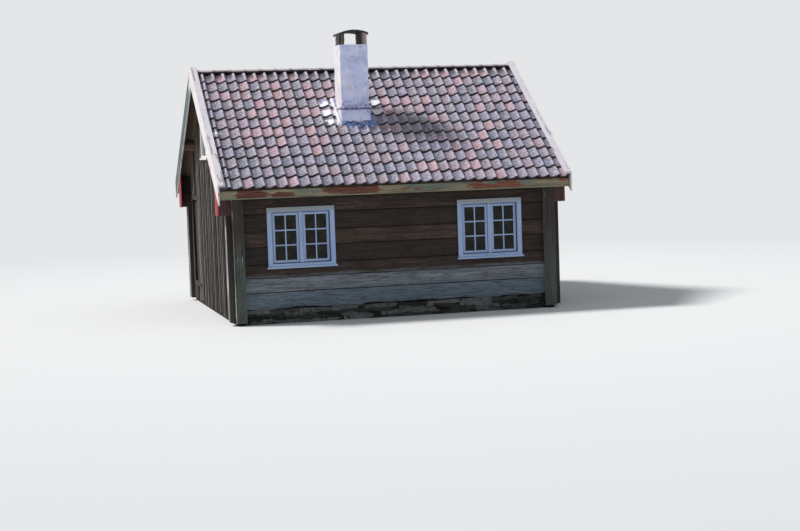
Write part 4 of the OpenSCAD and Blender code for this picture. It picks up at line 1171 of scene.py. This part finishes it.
flue_w = 0.2
foot_half = (foot_high.x - foot_low.x) / 2
bm = bmesh.new()
square_block(bm, stack_mid, stack_half, stack_low.z, stack_high.z, 0.02, 0.008, 1)
flue = ((stack_mid.x - flue_w / 2, stack_mid.y - flue_w / 2, 1.05),
        (stack_mid.x + flue_w / 2, stack_mid.y + flue_w / 2, 6))
finish_piece("chimney_stack_limewashed", bm, ("chimney_stack",), limewash, cutters=[flue])
bm = bmesh.new()
square_block(bm, foot_mid, foot_half - 0.008, foot_low.z, foot_high.z - drip_h, 0.02, 0.008, 5)
stack_way = ((stack_low.x + 0.03, stack_low.y + 0.03, 3), (stack_high.x - 0.03, stack_high.y - 0.03, 6))
foot_mesh = plain_mesh("chimney_foot_limewashed", bm, cutters=[stack_way])
bm = bmesh.new()
bm.from_mesh(foot_mesh)
square_block(bm, foot_mid, foot_half + 0.008, foot_high.z - drip_h + 0.001, foot_high.z, 0.008, 0.004, 8)
finish_piece("chimney_foot_limewashed", bm, ("chimney_foot",), limewash, cutters=[stack_way])
cap_low, cap_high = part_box("chimney_cap")
slab_half = (cap_high.x - cap_low.x) / 2
slab_x = (cap_high.x + cap_low.x) / 2
slab_t = 0.035
slab_end_z = stack_high.z + cap_wall_h
slab_bow = cap_high.z - slab_t - slab_end_z


def arch_z(x):
    """Height of the cap slab's underside."""
    return slab_end_z + slab_bow * (1 - ((x - slab_x) / slab_half) ** 2)


bm = bmesh.new()
for side in (-1, 1):
    x0, x1 = sorted((stack_mid.x + side * (stack_half - 0.004), stack_mid.x + side * inner))
    wall = bmesh.new()
    rough_block(wall, (x0, stack_low.y + 0.006, 0.0), (x1, stack_high.y - 0.006, 1.0), 0.015, 0.006,
                seed=11 + side)
    for vert in wall.verts:
        top = arch_z(min(max(vert.co.x, cap_low.x), cap_high.x)) + 0.004
        vert.co.z = stack_high.z + vert.co.z * (top - stack_high.z)
    wall_mesh = mesh_of("wall", wall)
    bm.from_mesh(wall_mesh)
    bpy.data.meshes.remove(wall_mesh)
finish_piece("chimney_cap_walls", bm, (), smoked)
bm = bmesh.new()
rough_block(bm, (cap_low.x + 0.002, cap_low.y + 0.002, 0.0), (cap_high.x - 0.002, cap_high.y - 0.002, slab_t),
            0.03, 0.012, 0.035, 20)
for vert in bm.verts:
    x = min(max(vert.co.x, cap_low.x), cap_high.x)
    vert.co.z = min(vert.co.z + arch_z(x), cap_high.z)
finish_piece("chimney_cap_slab", bm, ("chimney_cap",), slate)

# Lime mortar round the foot, pressed down over the tiles: grey blue with damp, with white crumbs.
mortar, add, coords, surface = new_material("damp_lime_mortar", 0.92)
cloud = add("TexNoise", {"Vector": coords, "Scale": 11, "Detail": 7, "Roughness": 0.75})
colour = add("ValToRGB", (cloud,), stops=[(0.3, "#1A2946"), (0.44, "#3D568C"), (0.54, "#7489BC"),
    (0.64, "#D2DAEE")])
# On the left side of the foot limewash covers the mortar
washed = add("SeparateXYZ", (coords,)).outputs["X"]
colour = cover(add, colour, "#DFDEE8", ("MULTIPLY_ADD", cloud, 0.12, washed),
    (foot_low.x + 0.05, foot_low.x + 0.07), (0.95, 0.0))
dress_surface(add, surface, colour, cloud, 1.0, 0.02)


def tile_top(x, y):
    """Height of the front slope's tiles."""
    u = ((x + deck_x) / tile_pitch) % 1.0
    for (u0, rise0), (u1, rise1) in zip(section, section[1:]):
        if u0 <= u <= u1:
            rise = rise0 + (rise1 - rise0) * (u - u0) / (u1 - u0)
    n = batten_top + tile_t + nose_gap + 0.004 + wave * (1 + rise)
    return ridge_z + y * roof_tan + n / roof_cos


bm = new_timber()
for k, (start, end, out) in enumerate((
    ((foot_low.x - 0.07, foot_low.y), (foot_high.x + 0.1, foot_low.y), (0, -1)),
    ((foot_low.x, foot_low.y - 0.03), (foot_low.x, foot_high.y + 0.05), (-1, 0)),
    ((foot_high.x, foot_low.y - 0.06), (foot_high.x, foot_high.y + 0.05), (1, 0)),
    ((foot_low.x - 0.05, foot_high.y), (foot_high.x + 0.05, foot_high.y), (0, 1)),
)):
    start, end, out = Vector((*start, 0)), Vector((*end, 0)), Vector((*out, 0))
    steps = round((end - start).length / 0.025)
    rings = []
    for i in range(steps + 1):
        base = start.lerp(end, i / steps)
        reach = (0.03 if k == 1 else 0.085) + 0.05 * noise.noise(base * 9.0) + 0.02 * noise.noise(base * 31.0)
        rise = 0.015 + 0.035 * noise.noise(base * 7.0 + Vector((0, 0, 4))) + 0.02 * noise.noise(base * 23.0)
        ring = []
        # The first number of each point is its share of the reach, the last its share of the tiles' waves
        for share, lift, waves in ((-0.25, -0.05, 0.0), (-0.25, rise, 0.0), (0.05, rise, 0.0),
                                   (0.5, 0.4 * rise + 0.008, 0.0), (0.88, 0.006, 0.2), (1.0, 0.0, 1.0),
                                   (1.0, -0.03, 1.0)):
            spot = base + out * (reach * share)
            crest = (batten_top + tile_t + nose_gap + 2 * wave) / roof_cos
            smooth = ridge_z + spot.y * roof_tan + crest
            wavy = tile_top(spot.x, spot.y)
            ring.append((spot.x, spot.y, smooth + (wavy - smooth) * waves + lift))
        rings.append(ring)
    faces = add_rings(bm, rings, [[(0, 0, 0)] * len(ring) for ring in rings], 0.5, 0.0)
    for face in faces:
        face.smooth = True
finish_piece("chimney_mortar_fillet", bm, (), mortar)


# Windows
# White-painted casings, each with a sill, round two casements of six small panes. The attic
# windows have one casement of four panes. The glass is old, thin and slightly wavy.
window_paint, add, coords, surface, grain, tone, patterns = new_wood("white_gloss_paint_on_joinery", 0.45)
place = add("SeparateXYZ", (coords,)).outputs
# Their blue is painted shade over white paint
paint = add("Mix", (patterns["patches"], "#7E99C8", "#A7BCDC"), data_type="RGBA")
# The attic windows are plain white, without that painted shade
paint = add("Mix", (("GREATER_THAN", place["Z"], attic_z - 0.1), paint, "#D6D4D4"), data_type="RGBA")
colour = cover(add, paint, "#7F868C", ("MULTIPLY_ADD", patterns["cracks"], 0.3, patterns["streaks"]),
    (0.68, 0.76), (0.0, 0.8))
# Dust and algae lie along the heads of the front and back windows, under the eaves
head = add(("MULTIPLY_ADD", patterns["patches"], 0.08, place["Z"]))
head_low = window_z + window_h - 0.06
head = add("MapRange", (head, head_low, head_low + 0.05, 0.0, 0.75))
colour = add("Mix", (("MULTIPLY", head, ("LESS_THAN", place["Z"], window_z + window_h + 0.1)), colour,
    "#8A8E84"), data_type="RGBA")
# A tone over 1.5 marks the linings, painted dark blue grey as shade round the casements
colour = add("Mix", (("GREATER_THAN", tone, 1.5), colour, "#4A566C"), data_type="RGBA")
finish_wood(add, surface, colour, patterns, 0.001)

# Window glass: dark rooms behind it and painted reflections of greenery show brown and green, and its faint
# waves bend reflections.
pane_glass, add, coords, surface = new_material("drawn_window_glass", 0.06)
behind = add("TexNoise", {"Vector": coords, "Scale": 7, "Detail": 5, "Roughness": 0.7})
room_and_reflection = add("ValToRGB", (behind,), stops=[(0.36, "#04070A"), (0.47, "#0B1214"), (0.56, "#2B2216"),
    (0.64, "#253023")])
surface.inputs["Transmission Weight"].default_value = 0.25
surface.inputs["IOR"].default_value = 1.45
surface.inputs["Specular IOR Level"].default_value = 0.12
ripple = add("TexNoise", {"Vector": coords, "Scale": 4.0, "Detail": 1})
dress_surface(add, surface, room_and_reflection, ripple, 0.5, 0.004)
finish_node(pane_glass, "front_window_glass", "back_window_glass", "attic_window_glass")

lining_t = 0.022
lining_edge = 0.01
sash_w = 0.045
sash_t = 0.042
sash_in = 0.018
post_w = 0.067
sill_out = 0.025
sill_t = 0.035
bar_w = 0.025
sash_gap = 0.005
bar_t = 0.024


def dress_window(casings, sashes, origin, right, out, w, h, lights, panes, board, seed):
    """Joins casing, lining, post, sill, casements and bars of one window about its lower middle."""
    origin, right, out, up = Vector(origin), Vector(right), Vector(out), Vector((0, 0, 1))

    def at(x, z, deep=0.0):
        """A point right of, over and out from the window's lower middle."""
        return origin + right * x + up * z + out * deep

    def stick(bm, start, end, over, width, thick, k, tones=(0, 1)):
        """A straight stick between two places, each given as for at."""
        add_board(bm, at(*start), at(*end), over, out, width, thick, seed + k, wander=0.0, tones=tones)

    band = casing_lap + lining_t - lining_edge
    for k, z in enumerate((band / 2, h - band / 2)):
        stick(casings, (-w / 2, z), (w / 2, z), up, band, board, k)
    for k, x in enumerate((-w / 2 + band / 2, w / 2 - band / 2)):
        stick(casings, (x, band), (x, h - band), right, band, board - 0.002, 2 + k)
    reach = w / 2 + sill_out
    stick(casings, (-reach, sill_t / 2, board), (reach, sill_t / 2, board), up, sill_t, sill_out, 4)
    edge = casing_lap
    inner_w, inner_h = w - 2 * edge, h - 2 * edge
    for k, z in enumerate((edge + lining_t / 2, h - edge - lining_t / 2)):
        stick(casings, (-inner_w / 2, z, -log_t), (inner_w / 2, z, -log_t), up, lining_t, log_t, 5 + k,
              (2, 2))
    low, high = edge + lining_t, h - edge - lining_t
    for k, x in enumerate((-inner_w / 2 + lining_t / 2, inner_w / 2 - lining_t / 2)):
        stick(casings, (x, low, -log_t), (x, high, -log_t), right, lining_t, log_t, 7 + k, (2, 2))
    if lights > 1:
        stick(casings, (0, low, -log_t), (0, high, -log_t), right, post_w, log_t, 9)
    light_w = (inner_w - 2 * lining_t - (lights - 1) * post_w) / lights
    light_h = inner_h - 2 * lining_t
    z0 = edge + lining_t + sash_gap
    z1 = z0 + light_h - 2 * sash_gap
    for light in range(lights):
        middle = (light - (lights - 1) / 2) * (light_w + post_w)
        reach = light_w / 2 - sash_gap
        back = -sash_in - sash_t
        for k, z in enumerate((z0 + sash_w / 2, z1 - sash_w / 2)):
            stick(sashes, (middle - reach, z, back), (middle + reach, z, back), up, sash_w, sash_t, 10 + k)
        low, high = z0 + sash_w, z1 - sash_w
        for k, side in enumerate((-1, 1)):
            x = middle + side * (reach - sash_w / 2)
            stick(sashes, (x, low, back), (x, high, back), right, sash_w, sash_t - 0.001, 12 + k)
        cols, rows = panes
        back = -sash_in - sash_t / 2 - bar_t / 2
        left, right_end = middle - reach + sash_w, middle + reach - sash_w
        for k in range(1, cols):
            x = left + (2 * reach - 2 * sash_w) * k / cols
            stick(sashes, (x, low, back), (x, high, back), right, bar_w, bar_t, 14 + k)
        for k in range(1, rows):
            z = low + (z1 - z0 - 2 * sash_w) * k / rows
            stick(sashes, (left, z, back), (right_end, z, back), up, bar_w, bar_t - 0.001, 16 + k)


gable_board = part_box("attic_window_casings")[1].x - half_l - sill_out
for name in ("front", "back", "attic"):
    casings, sashes = new_timber(), new_timber()
    if name == "attic":
        for end, middle, seed in ((-1, attic_shift, 700), (1, 0, 730)):
            dress_window(casings, sashes, (end * half_l, middle, attic_z), (0, end, 0), (end, 0, 0), attic_w,
                         attic_h, 1, (2, 2), gable_board, seed)
    else:
        facing = -1 if name == "front" else 1
        for side in (-1, 1):
            dress_window(casings, sashes, (side * window_x, facing * half_w, window_z), (-facing, 0, 0),
                         (0, facing, 0), window_w, window_h, 2, (2, 3), trim_t, 760 + 40 * facing + 20 * side)
    for part, bm, bevel in (("_window_casings", casings, 0.003), ("_window_sashes", sashes, 0.004)):
        finish_piece(name + part + "_painted", bm, (name + part,), window_paint, bevel)


# Door
# A plank door of weathered pine in a plain casing, hung on two strap hinges of forged iron,
# with an iron ring latch on a round plate. It is closed.
forged_iron, add, coords, surface = new_material("forged_iron_rusty", 0.6)
surface.inputs["Metallic"].default_value = 0.4
rust = add("TexNoise", {"Vector": coords, "Scale": 45, "Detail": 6, "Roughness": 0.7})
iron_colour = add("ValToRGB", (rust,), stops=[(0.35, "#101113"), (0.46, "#1C1A1B"),
    (0.56, "#6A3F2A"), (0.7, "#8A5536")])
dress_surface(add, surface, iron_colour, rust, 0.6, 0.002)

door_mid = (door_low.y + door_high.y) / 2
door_w = door_high.y - door_low.y - 2 * casing_lap
door_z = door_low.z + casing_lap
door_h = door_high.z - door_low.z - 2 * casing_lap
leaf_w = door_w - 2 * lining_t - 2 * hair_gap
leaf_z = door_z + lining_t
leaf_h = door_h - 2 * lining_t
leaf_t = 0.04


def door_board(bm, x, y0, z0, y1, z1, width, thick, seed, tones=(0, 1)):
    """A level or upright board of the door, its back at x."""
    across = (0, 0, 1) if z0 == z1 else (0, 1, 0)
    add_board(bm, (x, y0, z0), (x, y1, z1), across, (-1, 0, 0), width, thick, seed, tones=tones)


bm = new_timber()
planks = 5
for k in range(planks):
    y = door_mid - leaf_w / 2 + (k + 0.5) * leaf_w / planks
    door_board(bm, -half_l + leaf_t, y, leaf_z, y, leaf_z + leaf_h - hair_gap, leaf_w / planks - board_gap,
               leaf_t, 800 + k, (0.0, 0.6))
leaf_mesh = plain_mesh("door_leaf_planks", bm, bevel=0.003)

strap_l = 0.56
strap_w = 0.048
strap_t = 0.006
strap_in = 0.26
nail_r = 0.007
knuckle_r = 0.01
ring_r = 0.037
ring_t = 0.012
latch_in = 0.075
latch_z = 0.86
plate_r = 0.032


def add_iron(bm, outline, x0, x1):
    """A flat or round piece of iron: an outline of Y and Z, from x0 to x1 out from the leaf."""
    rings = [[(-half_l - x, y, z) for y, z in outline] for x in (x0, x1)]
    add_rings(bm, rings, [[(0, 0, 0)] * len(outline)] * 2, 0.5, 0.0)


def circle(y, z, radius, count=16):
    """Points of a circle about y and z."""
    return [(y + radius * math.cos(2 * math.pi * k / count), z + radius * math.sin(2 * math.pi * k / count))
            for k in range(count)]


iron = new_timber()
for z in (leaf_z + strap_in, leaf_z + leaf_h - strap_in):
    y = door_mid + leaf_w / 2 - knuckle_r
    add_iron(iron, [(y, z - strap_w / 2), (y, z + strap_w / 2), (y - strap_l, z + strap_w / 4),
                    (y - strap_l - strap_w / 4, z), (y - strap_l, z - strap_w / 4)], 0.0, strap_t)
    rings = [[(-half_l - knuckle_r + a, y + b, level) for a, b in circle(0, 0, knuckle_r)]
             for level in (z - strap_w / 2 - strap_t, z + strap_w / 2 + strap_t)]
    add_rings(iron, rings, [[(0, 0, 0)] * 16] * 2, 0.5, 0.0)
    for share in (0.15, 0.42, 0.68, 0.92):
        add_iron(iron, circle(y - share * strap_l, z, nail_r, 8), strap_t - 0.001, strap_t + 0.003)
y, z = door_mid - leaf_w / 2 + latch_in, leaf_z + latch_z
stud_l = strap_t + 1.5 * ring_t
add_iron(iron, circle(y, z, plate_r, 24), 0.0, strap_t)
add_iron(iron, circle(y, z, 0.75 * ring_t, 12), 0.0, stud_l)
around, thick = 32, 10
torus = []
for a in range(around):
    turn = 2 * math.pi * a / around
    torus.append([])
    for b in range(thick):
        bend = 2 * math.pi * b / thick
        reach = ring_r + ring_t / 2 * math.cos(bend)
        torus[-1].append(iron.verts.new((
            -half_l - strap_t - ring_t / 2 + ring_t / 2 * math.sin(bend), y + reach * math.cos(turn),
            z - ring_r + reach * math.sin(turn)
        )))
faces = []
for near, far in zip(torus, torus[1:] + torus[:1]):
    for b in range(thick):
        next_b = (b + 1) % thick
        faces.append(iron.faces.new((near[b], far[b], far[next_b], near[next_b])))
        faces[-1].smooth = True
bmesh.ops.recalc_face_normals(iron, faces=faces)
iron_mesh = plain_mesh("door_iron", iron)
bm = bmesh.new()
bm.from_mesh(leaf_mesh)
wood_faces = len(bm.faces)
bm.from_mesh(iron_mesh)
bm.faces.ensure_lookup_table()
for face in bm.faces[wood_faces:]:
    face.material_index = 1
door_mesh = mesh_of("door_leaf_planks", bm)
add_piece("door_leaf_planks", door_mesh, ("door_leaf",), weathered_board)
door_mesh.materials.append(forged_iron)

bm = new_timber()
band = casing_lap + lining_t - lining_edge
for k, z in enumerate((door_low.z + band / 2, door_high.z - band / 2)):
    door_board(bm, -half_l, door_low.y, z, door_high.y, z, band, gable_board, 810 + k, (-0.2, 0.1))
for k, y in enumerate((door_low.y + band / 2, door_high.y - band / 2)):
    door_board(bm, -half_l, y, door_low.z + band, y, door_high.z - band, band, gable_board - 0.003, 812 + k,
               (0.0, 0.2) if k else (1.3, 1.4))
x = -half_l + log_t
for k, z in enumerate((door_z + lining_t / 2, door_z + door_h - lining_t / 2)):
    door_board(bm, x, door_mid - door_w / 2, z, door_mid + door_w / 2, z, lining_t, log_t, 814 + k)
for k, side in enumerate((-1, 1)):
    y = door_mid + side * (door_w - lining_t) / 2
    door_board(bm, x, y, door_z + lining_t, y, door_z + door_h - lining_t, lining_t, log_t, 816 + k)
finish_piece("door_casing_boards", bm, ("door_casing",), weathered_board, 0.003)


# Setting
# A plain pale floor under soft studio light, and the camera at the photograph's viewing angle.
floor_mesh = bpy.data.meshes.new("floor")
floor_mesh.from_pydata([(-80, -80, 0), (80, -80, 0), (80, 80, 0), (-80, 80, 0)], [], [(0, 1, 2, 3)])
floor = place_object("floor", floor_mesh)
backdrop = "#E4E6E8"
floor_material = bpy.data.materials.new("studio_floor")
add = empty_tree(floor_material)
coords = add("TexCoord").outputs["Object"]
paint = add("BsdfDiffuse", {"Color": "#CCCED0"})
glow = add("Emission", {"Color": backdrop, "Strength": 1.0})
distance = add("VectorMath", (coords,), operation="LENGTH")
# The floor fades into the backdrop between 7 and 20 metres out
fade = add("MapRange", (distance, 7.0, 20.0))
seen = add("LightPath")
mixed = add("MixShader", (("MULTIPLY", fade, seen.outputs["Is Camera Ray"]), paint, glow))
add("OutputMaterial", {"Surface": mixed})
floor_mesh.materials.append(floor_material)

world = bpy.data.worlds.new("studio")
bpy.context.scene.world = world
add = empty_tree(world)
fill = add("Background", {"Color": "#F4F6FA", "Strength": 0.52})
shown = add("Background", {"Color": backdrop, "Strength": 1.0})
seen = add("LightPath")
mixed = add("MixShader", (("MAXIMUM", ("MAXIMUM", seen.outputs["Is Camera Ray"],
    seen.outputs["Is Glossy Ray"]), seen.outputs["Is Transmission Ray"]), fill, shown))
add("OutputWorld", {"Surface": mixed})

key = bpy.data.lights.new("key", "SUN")
key.energy = 4.1
key.angle = math.radians(12)
key.color = (1.0, 0.975, 0.94)
key_lamp = place_object("key", key)
key_lamp.rotation_euler = Vector((0.6, -0.24, -0.76)).to_track_quat("-Z", "Y").to_euler()

camera_data = bpy.data.cameras.new("camera")
camera_data.lens = 72
camera_data.sensor_width = 36
camera_data.clip_end = 500
camera = place_object("camera", camera_data)
camera.location = (-7.310, -31.457, 3.134)
yaw, pitch, roll = math.radians(-14.42), math.radians(4.25), math.radians(-1.95)
turn = Matrix.Rotation(yaw, 3, "Z") @ Matrix.Rotation(math.pi / 2 - pitch, 3, "X")
camera.rotation_euler = (turn @ Matrix.Rotation(roll, 3, "Z")).to_euler()
bpy.context.scene.camera = camera
bpy.context.scene.view_settings.view_transform = "Standard"
